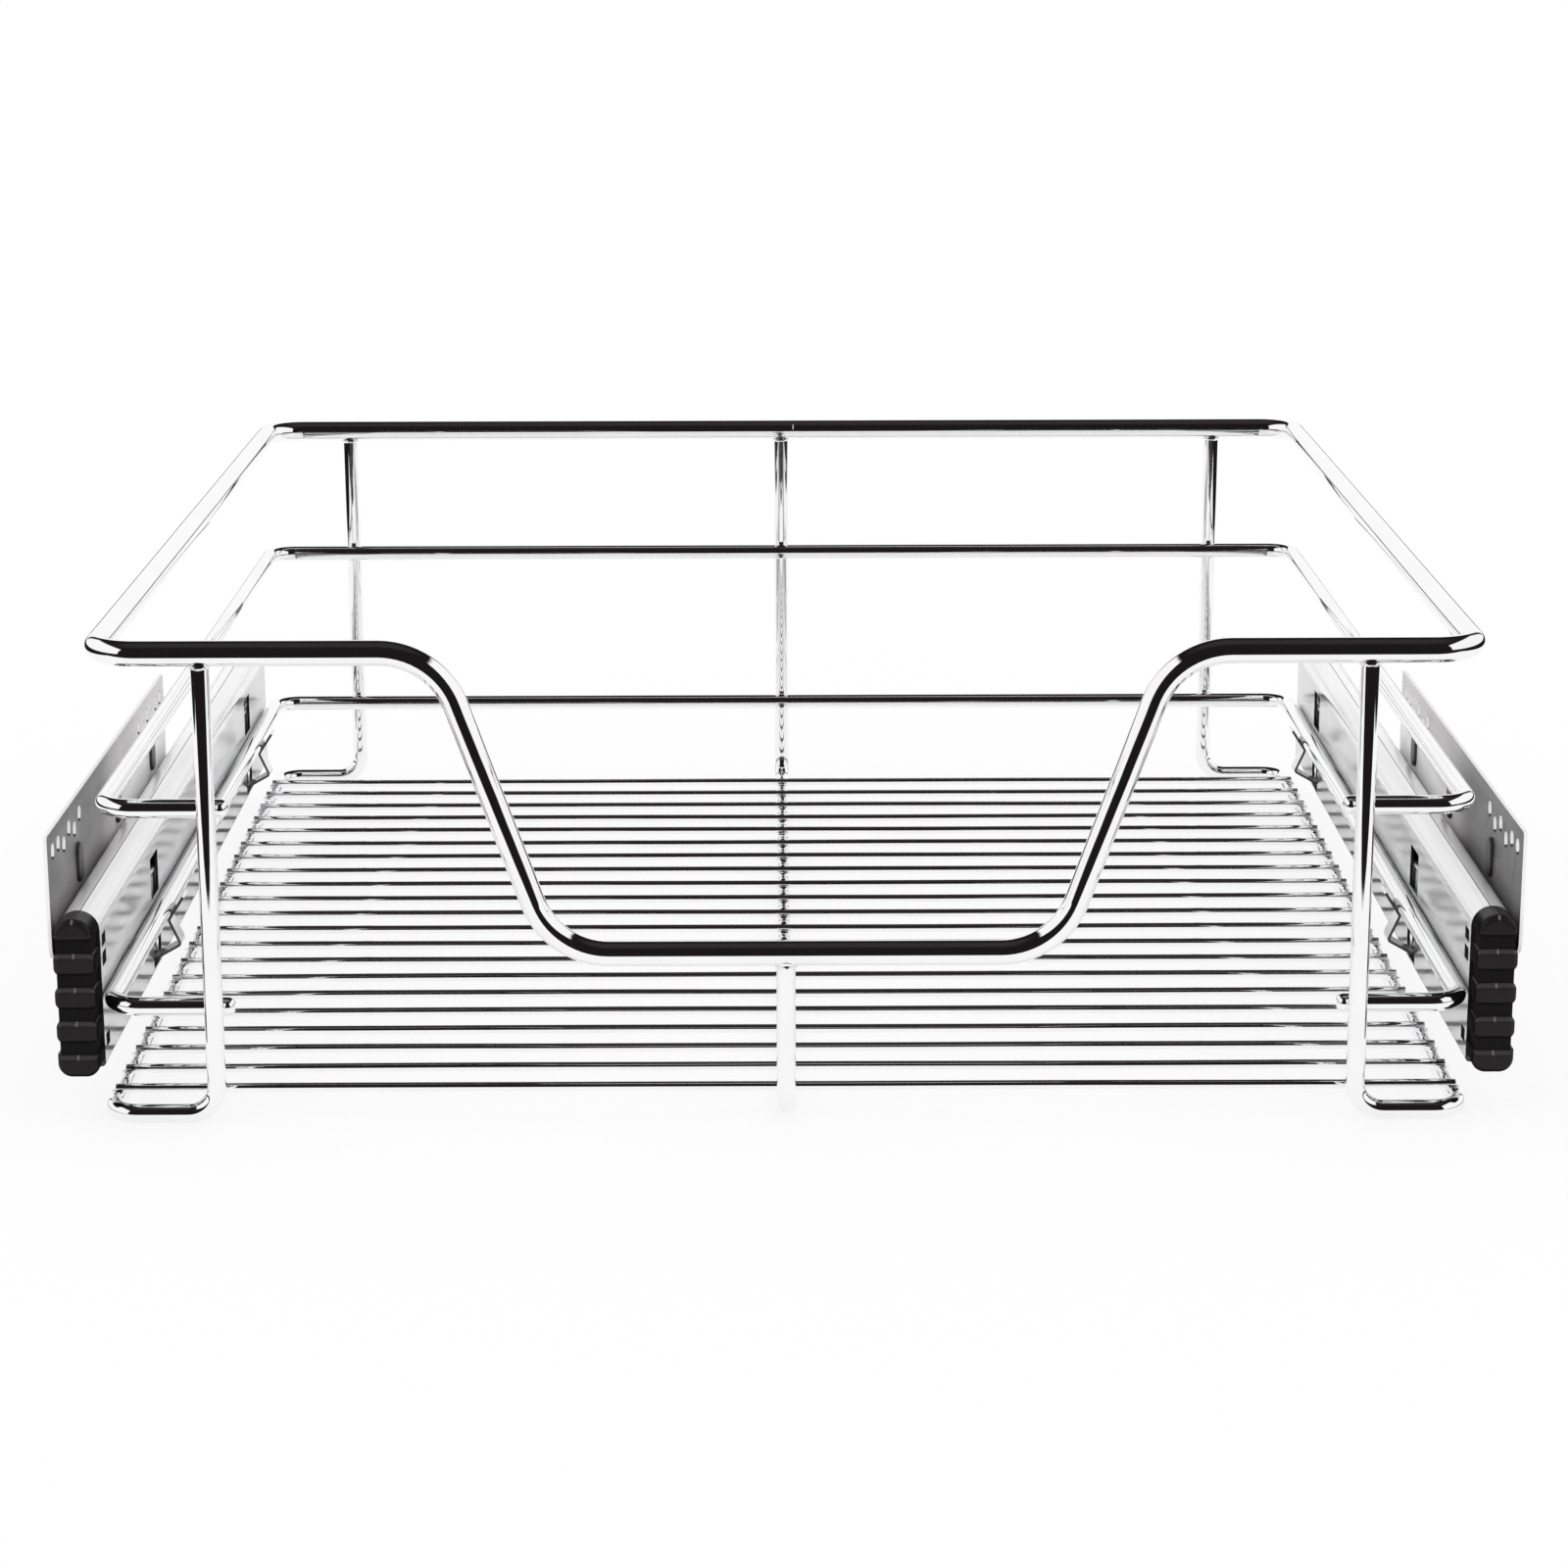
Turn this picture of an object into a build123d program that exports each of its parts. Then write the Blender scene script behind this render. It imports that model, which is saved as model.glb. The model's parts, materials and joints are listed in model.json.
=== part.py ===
from build123d import *
import os
from math import cos, radians, sin

# Pull-out wire basket that hangs between two full-extension ball-bearing slides.
# Millimetres. X runs across the cabinet, -Y is the way the basket pulls out, Z is up.
# The origin is the middle of the basket's footprint, level with the base wires' underside.

# Cabinet and basket
cabinet_width = 464.0
rim_side_gap = 14.5
rim_depth = 440.0
rim_top = 156.0
rim_wire_diameter = 8.0
rim_corner = 14.0

# Front dip of the rim, which is the way in and the grip
dip_top_width = 227.0
dip_bottom_width = 158.0
dip_bar_height = 55.4
dip_shift = 6.0
dip_bend = 25.0

# Rings and frames, all of one wire
frame_wire_diameter = 6.0
middle_ring_height = 101.2
lower_ring_height = 36.6
ring_corner = 10.0
ring_end_overrun = 6.0
upright_inset = 33.8
frame_bend = 9.0
weld_line = 0.05

# Base wires
base_wire_diameter = 3.0
base_wire_pitch = 19.5
first_base_wire = 12.0
rear_base_margin = 30.0

# Slides
slide_length = 400.0
slide_setback = 14.0
slide_stack = 12.7
slide_centre_height = 38.0
slide_travel = 400.0
fixed_rail_height = 42.0
fixed_rail_sheet = 1.2
moving_rail_sheet = 1.0
outer_ball_diameter = 4.0
inner_ball_diameter = 3.5
ball_play = 0.05
balls_per_row = 8
ball_pitch = 22.0
cage_sheet = 0.5
cage_length = 172.0
cage_margin = 6.0
outer_cage_gap = 0.3
inner_cage_gap = 0.5
lip_gap = 0.6
outer_lip_setback = 2.9
outer_ball_setback = 3.8
inner_ball_shift = 0.7
outer_cage_edge = 1.2
inner_cage_edge = 1.6
window_play = 0.15
rail_end_step = 2.0
inner_rail_setback = 16.0
sheet_bend = 1.0
rail_bend = 0.8
cage_bend = 0.6
bumper_length = 6.0
bumper_edge = 1.2
bumper_play = 0.2
closing_gap = 1.0

# Covers on the moving rails
cover_sheet = 1.0
cover_bottom = 14.0
cover_roof_gap = 0.35
cover_lip = 4.0
cover_side_gap = 0.4
crease_angle = 45.0
ring_gap = 0.3

# Windows in the cover, and the clips that come out through the lower ones to carry the ring
clip_stations = (106.0, 343.0)
window_length = 15.5
upper_window = (40.5, 55.0)
lower_window = (16.0, 28.0)
clip_width = 8.5
clip_sheet = 1.0
clip_play = 0.05
clip_bend = 1.2
clip_hook_bend = 0.7
clip_lip_lean = 33.0
clip_lip = 7.2
clip_kink_drop = 2.5
clip_chin = (8.8, -12.8)
clip_heel_drop = 18.6
pocket_play = 0.4

# End caps
cap_depth = 11.5
cap_lobes = 5
cap_gap = 3.7
cap_corner = 2.4
cap_foot_corner = 4.5
cap_edge = 2.0
cap_notch = 1.0
cap_groove = 1.4
cap_fit = 0.15
tongue_length = 12.0
tongue_sheet = 1.6
slit_setback = 6.0
slit_width = 6.5
slits = ((19.5, 24.0), (46.5, 51.0), (53.0, 57.0))

# Cabinet plates
plate_sheet = 1.2
plate_length = 232.0
plate_front = 6.0
plate_top = 92.0
flag_bottom = 51.0
plate_corner = 6.0
tongue_bottom = 19.0
tongue_inset = 22.0
screw_hole_diameter = 5.5
screw_hole_pitch = 9.4
screw_hole_edge = 9.0
screw_rows = (7.0, 9.8)
screw_zigzag = (0, 0, 1, 0, 1, 0)
rib_stations = (50.0, 124.0, 198.0)
rib_width = 8.0
rib_span = (63.6, 77.0)
rib_height = 1.2
rib_edge = 0.8

# Flush rivets
rivet_diameter = 4.0
rivet_play = 0.03
plate_rivet_stations = (32.0, 86.0, 148.0, 200.0)
cover_rivet_stations = (45.0, 165.0, 285.0, 375.0)

# Places worked out from the sizes above
rim_radius = rim_wire_diameter / 2
frame_radius = frame_wire_diameter / 2
base_radius = base_wire_diameter / 2
rim_x = cabinet_width / 2 - rim_side_gap - rim_radius
rim_y = (rim_depth - rim_wire_diameter) / 2
rim_z = rim_top - rim_radius

plate_outer_x = cabinet_width / 2
rail_back_x = plate_outer_x - plate_sheet
rail_face_x = rail_back_x - slide_stack
cover_face_x = rail_face_x - cover_sheet
ring_x = cover_face_x - ring_gap - frame_radius
ring_y = rim_y - frame_wire_diameter - weld_line
upright_x = ring_x - upright_inset
base_z = frame_radius

slide_front = -rim_y + slide_setback
slide_rear = slide_front + slide_length
plate_front_y = -rim_y + plate_front

fixed_race = fixed_rail_height / 2 - fixed_rail_sheet
middle_outer = fixed_race - outer_ball_diameter - 2 * ball_play
middle_race = middle_outer - moving_rail_sheet
inner_outer = middle_race - inner_ball_diameter - 2 * ball_play
outer_ball_z = (fixed_race + middle_outer) / 2
inner_ball_z = (middle_race + inner_outer) / 2

fixed_web_x = rail_back_x - fixed_rail_sheet / 2
outer_cage_x = rail_back_x - fixed_rail_sheet - outer_cage_gap - cage_sheet / 2
middle_web_x = outer_cage_x - cage_sheet / 2 - outer_cage_gap - moving_rail_sheet / 2
inner_cage_x = middle_web_x - moving_rail_sheet / 2 - inner_cage_gap - cage_sheet / 2
inner_lip_x = inner_cage_x - cage_sheet / 2 - inner_cage_gap - moving_rail_sheet / 2
inner_web_x = rail_face_x + moving_rail_sheet / 2
outer_lip_x = inner_web_x + outer_lip_setback
outer_ball_x = outer_lip_x + outer_ball_setback
inner_ball_x = (inner_web_x + inner_lip_x) / 2 + inner_ball_shift

cover_outer_x = rail_back_x - cover_side_gap
cover_width = cover_outer_x - cover_face_x
cover_middle_x = (cover_outer_x + cover_face_x) / 2
roof_z = slide_centre_height + fixed_rail_height / 2 + cover_roof_gap
pocket_top = slide_centre_height + inner_outer - moving_rail_sheet - pocket_play
cover_top = roof_z + cover_width / 2


def at_depth(y):
    """The upright plane across the cabinet at a depth, seen with +X right and +Z up."""
    return Plane.XZ.offset(-y)


def write_node(part, name):
    """Label one finished piece and write it out."""
    part.label = name
    export_step(part, f"parts/{name}.step")


def write_pair(part, name):
    """Write a right-hand piece and its mirror image on the left."""
    write_node(part, f"right_{name}")
    write_node(mirror(part, about=Plane.YZ), f"left_{name}")


def bent_wire(corners, bends, diameter, close=False):
    """Round wire bent at each corner of its route."""
    with BuildPart() as wire:
        with BuildLine() as route:
            FilletPolyline(*corners, radius=bends, close=close)
        with BuildSketch(route.line ^ 0):
            Circle(diameter / 2)
        sweep()
    return wire.part


def seat_under_rim(post, x, y, height):
    """Cope the top end of an upright to the round rim wire that it is welded under."""
    with BuildPart() as coped:
        add(post)
        with Locations((x, y, height)):
            Cylinder(
                rim_radius + weld_line,
                4 * frame_wire_diameter,
                rotation=(0, 90, 0),
                mode=Mode.SUBTRACT,
            )
    return coped.part


def bent_strip(corners, bends, sheet, start_y, length):
    """Sheet strip bent along a route across the cabinet, running rearward from start_y."""
    with BuildPart() as strip:
        with BuildSketch(at_depth(start_y)):
            with BuildLine():
                FilletPolyline(*corners, radius=bends)
            trace(line_width=sheet)
        extrude(amount=-length)
    return strip.part


def channel_route(web_x, edge_x, half_height, lip):
    """Route of a channel about the slide's centre height, its web at web_x and its two
    flanges reaching edge_x. A positive lip turns in towards the centre, a negative one out,
    and none leaves the flange plain."""
    low = slide_centre_height - half_height
    high = slide_centre_height + half_height
    route = [(edge_x, low), (web_x, low), (web_x, high), (edge_x, high)]
    if lip:
        route = [(edge_x, low + lip)] + route + [(edge_x, high - lip)]
    return route


# Rim: one heavy wire, bent round four corners and down and up again at the front dip
def make_rim():
    top = dip_top_width / 2
    bottom = dip_bottom_width / 2
    corners = [
        (-rim_x, -rim_y, rim_z),
        (dip_shift - top, -rim_y, rim_z),
        (dip_shift - bottom, -rim_y, dip_bar_height),
        (dip_shift + bottom, -rim_y, dip_bar_height),
        (dip_shift + top, -rim_y, rim_z),
        (rim_x, -rim_y, rim_z),
        (rim_x, rim_y, rim_z),
        (-rim_x, rim_y, rim_z),
    ]
    bends = [rim_corner] + 4 * [dip_bend] + 3 * [rim_corner]
    return bent_wire(corners, bends, rim_wire_diameter, close=True)


# Rings: open at the front, where both ends turn in behind the front uprights
def make_ring(height):
    end_x = upright_x - ring_end_overrun
    corners = [
        (-end_x, -ring_y, height),
        (-ring_x, -ring_y, height),
        (-ring_x, ring_y, height),
        (ring_x, ring_y, height),
        (ring_x, -ring_y, height),
        (end_x, -ring_y, height),
    ]
    return bent_wire(corners, ring_corner, frame_wire_diameter)


# Side frames: front upright, foot, base side, foot and rear upright in one wire
def make_side_frame():
    corners = [
        (upright_x, -rim_y, rim_z),
        (upright_x, -rim_y, base_z),
        (ring_x, -rim_y, base_z),
        (ring_x, rim_y, base_z),
        (upright_x, rim_y, base_z),
        (upright_x, rim_y, rim_z),
    ]
    frame = bent_wire(corners, frame_bend, frame_wire_diameter)
    frame = seat_under_rim(frame, upright_x, -rim_y, rim_z)
    return seat_under_rim(frame, upright_x, rim_y, rim_z)


# Centre frame: from the dip bar down, back under the base wires and up to the rear rim
def make_centre_frame():
    corners = [
        (0, -rim_y, dip_bar_height),
        (0, -rim_y, base_z),
        (0, rim_y, base_z),
        (0, rim_y, rim_z),
    ]
    frame = bent_wire(corners, frame_bend, frame_wire_diameter)
    frame = seat_under_rim(frame, 0, -rim_y, dip_bar_height)
    return seat_under_rim(frame, 0, rim_y, rim_z)


# Base wires: straight thin wires lying on the side and centre frames
def make_base_wires():
    height = base_z + frame_radius + base_radius + weld_line
    first = -rim_y + first_base_wire
    count = int((2 * rim_y - first_base_wire - rear_base_margin) / base_wire_pitch) + 1
    places = [(0, first + i * base_wire_pitch, height) for i in range(count)]
    with BuildPart() as wires:
        with Locations(*places):
            Cylinder(base_radius, 2 * ring_x, rotation=(0, 90, 0))
    return wires.part


# Plate that screws to the cabinet's side wall, with two groups of staggered screw holes and
# three upright ribs pressed into it above the slide
def make_cabinet_plate():
    middle = plate_front_y + plate_length / 2
    half = plate_length / 2
    columns = range(len(screw_zigzag))
    holes = []
    for column in columns:
        reach = half - screw_hole_edge - column * screw_hole_pitch
        height = plate_top - screw_rows[screw_zigzag[column]]
        holes += [(middle - reach, height), (middle + reach, height)]
    rib_middle = sum(rib_span) / 2
    rib_length = rib_span[1] - rib_span[0]
    ribs = [(plate_front_y + station, rib_middle) for station in rib_stations]
    rivets = [(plate_front_y + s, slide_centre_height) for s in plate_rivet_stations]
    with BuildPart() as plate:
        with BuildSketch(Plane.YZ.offset(rail_back_x)):
            with Locations((middle, (plate_top + flag_bottom) / 2)):
                Rectangle(plate_length, plate_top - flag_bottom)
            with Locations((middle, (flag_bottom + tongue_bottom) / 2)):
                Rectangle(plate_length - 2 * tongue_inset, flag_bottom - tongue_bottom)
            corners = vertices().group_by(Axis.Y)
            fillet(corners[0] + corners[1], plate_corner)
            fillet(vertices().group_by(Axis.Y)[-1], plate_corner / 4)
            with Locations(*holes):
                Circle(screw_hole_diameter / 2, mode=Mode.SUBTRACT)
            with Locations(*rivets):
                Circle(rivet_diameter / 2 + rivet_play, mode=Mode.SUBTRACT)
        extrude(amount=plate_sheet)
        with BuildSketch(Plane.YZ.offset(rail_back_x)):
            with Locations(*ribs):
                SlotOverall(rib_length, rib_width, rotation=90)
        extrude(amount=-rib_height)
        fillet(plate.faces().group_by(Axis.X)[0].edges(), rib_edge)
        with BuildSketch(Plane.YZ.offset(plate_outer_x)):
            with Locations(*ribs):
                SlotOverall(rib_length - 2 * plate_sheet, rib_width - 2 * plate_sheet, rotation=90)
        extrude(amount=-rib_height, mode=Mode.SUBTRACT)
    return plate.part


def make_rivets(stations, start_y, inner_x, outer_x):
    """Flush rivets across the cabinet from inner_x to outer_x, along the slide's middle."""
    places = [(start_y + s, slide_centre_height) for s in stations]
    with BuildPart() as rivets:
        with BuildSketch(Plane.YZ.offset(inner_x)):
            with Locations(*places):
                Circle(rivet_diameter / 2)
        extrude(amount=outer_x - inner_x)
    return rivets.part


def drill_for_rivets(part, stations, start_y, x):
    """Rivet holes through a rail or cover whose web is at x."""
    places = [(x, start_y + s, slide_centre_height) for s in stations]
    with BuildPart() as drilled:
        add(part)
        with Locations(*places):
            Cylinder(
                rivet_diameter / 2 + rivet_play,
                3 * fixed_rail_sheet,
                rotation=(0, 90, 0),
                mode=Mode.SUBTRACT,
            )
    return drilled.part


# Fixed rail: channel riveted to the plate, its edges turned in round the outer balls
def make_fixed_rail():
    centre = fixed_race + fixed_rail_sheet / 2
    lip = centre - (outer_ball_z + cage_sheet / 2 + lip_gap)
    route = channel_route(fixed_web_x, outer_lip_x, centre, lip)
    rail = bent_strip(route, sheet_bend, fixed_rail_sheet, slide_front + weld_line, slide_length)
    return drill_for_rivets(rail, plate_rivet_stations, plate_front_y, fixed_web_x)


# Middle rail: channel that runs on the outer balls and carries the inner ones
def make_middle_rail():
    centre = middle_outer - moving_rail_sheet / 2
    lip = centre - (outer_ball_z - cage_sheet / 2 - lip_gap)
    route = channel_route(middle_web_x, outer_lip_x, centre, lip)
    start = slide_front + rail_end_step
    length = slide_length - rail_end_step - bumper_length - 2 * closing_gap
    return bent_strip(route, rail_bend, moving_rail_sheet, start, length)


# Inner rail: channel behind the cover, with pockets for the clips' tails
def make_inner_rail():
    centre = inner_outer - moving_rail_sheet / 2
    lip = centre - (inner_ball_z - cage_sheet / 2 - lip_gap)
    route = channel_route(inner_web_x, inner_lip_x, centre, lip)
    start = slide_front + inner_rail_setback
    length = slide_length - inner_rail_setback - bumper_length - 2 * closing_gap
    rail = bent_strip(route, rail_bend, moving_rail_sheet, start, length)
    rail = drill_for_rivets(rail, cover_rivet_stations, slide_front, inner_web_x)
    low = lower_window[0]
    pocket = moving_rail_sheet + pocket_play
    places = [
        (rail_face_x + pocket / 2, slide_front + station, (low + pocket_top) / 2)
        for station in clip_stations
    ]
    with BuildPart() as pocketed:
        add(rail)
        with Locations(*places):
            Box(pocket, window_length, pocket_top - low, mode=Mode.SUBTRACT)
    return pocketed.part


def cage_start():
    """Front end of both ball cages with the basket closed. A cage runs half as far as the
    rail that rolls on it, so it starts a quarter of the travel back."""
    return slide_front + slide_travel / 4 + cage_margin


def ball_places(x, height):
    """Centres of the balls of the two rows of one cage."""
    first = cage_start() + (cage_length - (balls_per_row - 1) * ball_pitch) / 2
    rows = (slide_centre_height - height, slide_centre_height + height)
    return [(x, first + i * ball_pitch, z) for z in rows for i in range(balls_per_row)]


def make_ball_cage(web_x, edge_x, ball_x, ball_z, ball_diameter):
    """Thin channel with a round window for each ball in both flanges."""
    route = channel_route(web_x, edge_x, ball_z, 0)
    strip = bent_strip(route, cage_bend, cage_sheet, cage_start(), cage_length)
    with BuildPart() as cage:
        add(strip)
        with Locations(*ball_places(ball_x, ball_z)):
            Cylinder(ball_diameter / 2 + window_play, 4 * cage_sheet, mode=Mode.SUBTRACT)
    return cage.part


def make_balls(x, height, diameter):
    """Bearing balls of one cage."""
    with BuildPart() as balls:
        with Locations(*ball_places(x, height)):
            Sphere(diameter / 2)
    return balls.part


# Bumper in the rear end of the fixed rail, against which the rails close
def make_rear_bumper():
    inner = outer_lip_x + fixed_rail_sheet / 2 + bumper_play
    outer = rail_back_x - fixed_rail_sheet - weld_line
    height = 2 * (fixed_race - bumper_play / 2)
    middle_y = slide_rear - closing_gap - bumper_length / 2
    with BuildPart() as bumper:
        with Locations(((inner + outer) / 2, middle_y, slide_centre_height)):
            Box(outer - inner, bumper_length, height)
        fillet(bumper.edges().filter_by(Axis.Y), bumper_edge)
    return bumper.part


# Cover: sheet skin of the moving side, folded over the slide's top to a creased outer edge
def make_slide_cover():
    inner_x = cover_face_x + cover_sheet / 2
    outer_x = cover_outer_x - cover_sheet / 2
    radius = (outer_x - inner_x) / 2
    low = cover_bottom + cover_sheet / 2
    crease = radians(crease_angle)
    crease_point = (cover_middle_x + radius * cos(crease), roof_z + radius * sin(crease))
    with BuildPart() as cover:
        with BuildSketch(at_depth(slide_front)):
            with BuildLine():
                FilletPolyline(
                    (inner_x + cover_lip, low),
                    (inner_x, low),
                    (inner_x, roof_z),
                    radius=sheet_bend,
                )
                ThreePointArc((inner_x, roof_z), (cover_middle_x, roof_z + radius), crease_point)
                Line(crease_point, (outer_x, roof_z + cover_side_gap))
            trace(line_width=cover_sheet)
        extrude(amount=-slide_length)
        cuts = []
        for station in clip_stations:
            for low_edge, high_edge in (upper_window, lower_window):
                cuts.append((slide_front + station, low_edge, high_edge, window_length))
        for low_edge, high_edge in slits:
            cuts.append((slide_front + slit_setback, low_edge, high_edge, slit_width))
        for y, low_edge, high_edge, width in cuts:
            with Locations((inner_x, y, (low_edge + high_edge) / 2)):
                Box(2 * cover_sheet, width, high_edge - low_edge, mode=Mode.SUBTRACT)
    return drill_for_rivets(cover.part, cover_rivet_stations, slide_front, inner_x)


# Clips: spring strip whose tail stands behind the cover. It comes out through the lower window
# to a chin, turns up to a kink below the ring, and flares out and up as the lip that carries it
def make_basket_clips():
    ring_reach = ring_gap + frame_radius
    behind = -(cover_sheet + clip_play + clip_sheet / 2)
    lean = radians(clip_lip_lean)
    off = frame_radius + clip_play + clip_sheet / 2
    seat_reach = ring_reach + off * cos(lean)
    seat_rise = -off * sin(lean)
    profile = [
        (behind, pocket_top - pocket_play - lower_ring_height),
        (behind, -clip_heel_drop),
        clip_chin,
        (seat_reach - clip_kink_drop * sin(lean), seat_rise - clip_kink_drop * cos(lean)),
        (seat_reach + clip_lip * sin(lean), seat_rise + clip_lip * cos(lean)),
    ]
    corners = [(cover_face_x - reach, lower_ring_height + rise) for reach, rise in profile]
    bends = [clip_hook_bend, clip_bend, clip_bend]
    with BuildPart() as clips:
        for station in clip_stations:
            start = slide_front + station - clip_width / 2
            add(bent_strip(corners, bends, clip_sheet, start, clip_width))
    return clips.part


# End cap: moulded plug of stacked knuckles, with a tongue behind the cover's face whose
# lugs show in the cover's slits, and a half-round plug under the cover's top
def make_end_cap():
    height = cover_top - cover_bottom
    pitch = (height + cap_gap) / cap_lobes
    lobe = pitch - cap_gap
    dome_foot = cover_top - lobe
    rear = slide_front - weld_line
    tongue_x = rail_face_x + cap_fit
    plug_radius = (cover_width / 2 - cover_sheet) * cos(radians(crease_angle / 2)) - cap_fit
    clear_of_rail = slide_centre_height + fixed_rail_height / 2 + lip_gap
    with BuildPart() as cap:
        with BuildSketch(at_depth(rear)):
            for i in range(cap_lobes - 1):
                with Locations((cover_middle_x, cover_bottom + i * pitch + lobe / 2)):
                    Rectangle(cover_width, lobe)
            rows = vertices().group_by(Axis.Y)
            fillet(rows[0], cap_foot_corner)
            fillet(rows[1:], cap_corner)
        with BuildSketch(at_depth(rear)):
            with Locations((cover_middle_x, roof_z)):
                Circle(cover_width / 2)
            with Locations((cover_middle_x, dome_foot - cover_width / 2)):
                Rectangle(2 * cover_width, cover_width, mode=Mode.SUBTRACT)
            fillet(vertices().group_by(Axis.Y)[0], cap_corner)
        extrude(amount=cap_depth)
        fillet(cap.faces().group_by(Axis.Y)[0].edges(), cap_edge)
        with BuildSketch(at_depth(rear)):
            with Locations((cover_middle_x, cover_bottom + height / 2)):
                Rectangle(cover_width - 2 * cap_notch, height - lobe)
        extrude(amount=cap_depth - cap_groove)
        with Locations((tongue_x + tongue_sheet / 2, rear + tongue_length / 2, slide_centre_height)):
            Box(tongue_sheet, tongue_length, 2 * fixed_race)
        for low_edge, high_edge in slits:
            lug_height = high_edge - low_edge - 2 * cap_fit
            lug_x = (cover_face_x + cap_fit + tongue_x) / 2
            with Locations((lug_x, slide_front + slit_setback, (low_edge + high_edge) / 2)):
                Box(tongue_x - cover_face_x, slit_width - 2 * cap_fit, lug_height)
        with BuildSketch(at_depth(rear)):
            with Locations((cover_middle_x, roof_z)):
                Circle(plug_radius)
            with Locations((cover_middle_x, clear_of_rail - cover_width / 2)):
                Rectangle(2 * cover_width, cover_width, mode=Mode.SUBTRACT)
        extrude(amount=-tongue_length)
    return cap.part


os.makedirs("parts", exist_ok=True)

rim = make_rim()
write_node(rim, "rim_wire")
middle_ring = make_ring(middle_ring_height)
write_node(middle_ring, "middle_ring_wire")
lower_ring = make_ring(lower_ring_height)
write_node(lower_ring, "lower_ring_wire")
write_pair(make_side_frame(), "side_frame_wire")
centre_frame = make_centre_frame()
write_node(centre_frame, "centre_frame_wire")
base_wires = make_base_wires()
write_node(base_wires, "base_cross_wires")

write_pair(make_cabinet_plate(), "cabinet_plate")
plate_rivets = make_rivets(
    plate_rivet_stations, plate_front_y, rail_back_x - fixed_rail_sheet, plate_outer_x
)
write_pair(plate_rivets, "plate_rivets")
write_pair(make_fixed_rail(), "fixed_rail")
write_pair(make_rear_bumper(), "rear_bumper")
outer_cage = make_ball_cage(
    outer_cage_x, outer_lip_x + outer_cage_edge, outer_ball_x, outer_ball_z, outer_ball_diameter
)
write_pair(outer_cage, "outer_ball_cage")
write_pair(make_balls(outer_ball_x, outer_ball_z, outer_ball_diameter), "outer_balls")
write_pair(make_middle_rail(), "middle_rail")
inner_cage = make_ball_cage(
    inner_cage_x, inner_web_x + inner_cage_edge, inner_ball_x, inner_ball_z, inner_ball_diameter
)
write_pair(inner_cage, "inner_ball_cage")
write_pair(make_balls(inner_ball_x, inner_ball_z, inner_ball_diameter), "inner_balls")
write_pair(make_inner_rail(), "inner_rail")
write_pair(make_slide_cover(), "slide_cover")
cover_rivets = make_rivets(
    cover_rivet_stations, slide_front, cover_face_x, rail_face_x + moving_rail_sheet
)
write_pair(cover_rivets, "cover_rivets")
write_pair(make_end_cap(), "end_cap")
write_pair(make_basket_clips(), "basket_clips")
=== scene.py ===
# Pull-out wire basket on two ball-bearing slides, as it hangs between a cabinet's sides. It is in
# the CAD model's own frame: +X to the right, -Y the way it pulls out, Z up. Lengths are in metres,
# but those of the wires, beads, rivets and balls are in millimetres and come with MM.
import json
import math

import bmesh
import bpy
from mathutils import Matrix, Vector, noise

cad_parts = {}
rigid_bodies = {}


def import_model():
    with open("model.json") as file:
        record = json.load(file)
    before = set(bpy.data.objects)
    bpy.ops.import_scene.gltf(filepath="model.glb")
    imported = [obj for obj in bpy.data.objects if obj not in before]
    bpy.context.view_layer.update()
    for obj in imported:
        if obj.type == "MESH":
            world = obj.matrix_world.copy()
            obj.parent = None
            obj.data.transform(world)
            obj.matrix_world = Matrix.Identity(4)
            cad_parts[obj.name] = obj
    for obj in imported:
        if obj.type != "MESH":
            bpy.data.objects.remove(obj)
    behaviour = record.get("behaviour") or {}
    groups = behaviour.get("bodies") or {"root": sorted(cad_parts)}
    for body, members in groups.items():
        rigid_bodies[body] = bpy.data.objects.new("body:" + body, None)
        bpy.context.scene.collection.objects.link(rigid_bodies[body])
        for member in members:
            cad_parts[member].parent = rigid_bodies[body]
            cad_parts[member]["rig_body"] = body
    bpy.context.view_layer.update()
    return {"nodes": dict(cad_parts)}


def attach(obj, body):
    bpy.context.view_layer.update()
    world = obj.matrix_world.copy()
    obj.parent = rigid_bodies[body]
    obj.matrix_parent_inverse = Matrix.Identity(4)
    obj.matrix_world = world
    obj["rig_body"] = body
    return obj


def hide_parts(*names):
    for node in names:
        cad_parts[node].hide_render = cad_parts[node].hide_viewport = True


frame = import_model()
scene = bpy.context.scene


# Studio. The basket stands on a white table in front of a white paper sweep, in a dark room with
# a tall soft lamp at each side. Film and plain surfaces see an even white light all round, and
# polished metal shows the table, the sweep, the lamps and the dark room beyond them.
scene.view_settings.view_transform = "Standard"

lens_position = Vector((-0.00414, -1.34229, 0.39975))
lens_turn = -0.00324
lens_dip = 0.25177
lens_roll = -0.00248
camera = bpy.data.objects.new("camera", bpy.data.cameras.new("camera"))
camera.data.sensor_width = 36
camera.data.lens = 86.24
camera.data.clip_end = 100
camera.matrix_world = (
    Matrix.Translation(lens_position)
    @ Matrix.Rotation(lens_turn, 4, "Z")
    @ Matrix.Rotation(math.pi / 2 - lens_dip, 4, "X")
    @ Matrix.Rotation(lens_roll, 4, "Z")
)
scene.collection.objects.link(camera)
scene.camera = camera


def add_node(tree, kind, inputs=None, **settings):
    """Put a node in a tree, with links or plain values on its inputs."""
    node = tree.nodes.new(kind)
    for name, value in settings.items():
        setattr(node, name, value)
    for name, value in (inputs or {}).items():
        if isinstance(value, bpy.types.NodeSocket):
            tree.links.new(value, node.inputs[name])
        else:
            node.inputs[name].default_value = value
    return node


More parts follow.
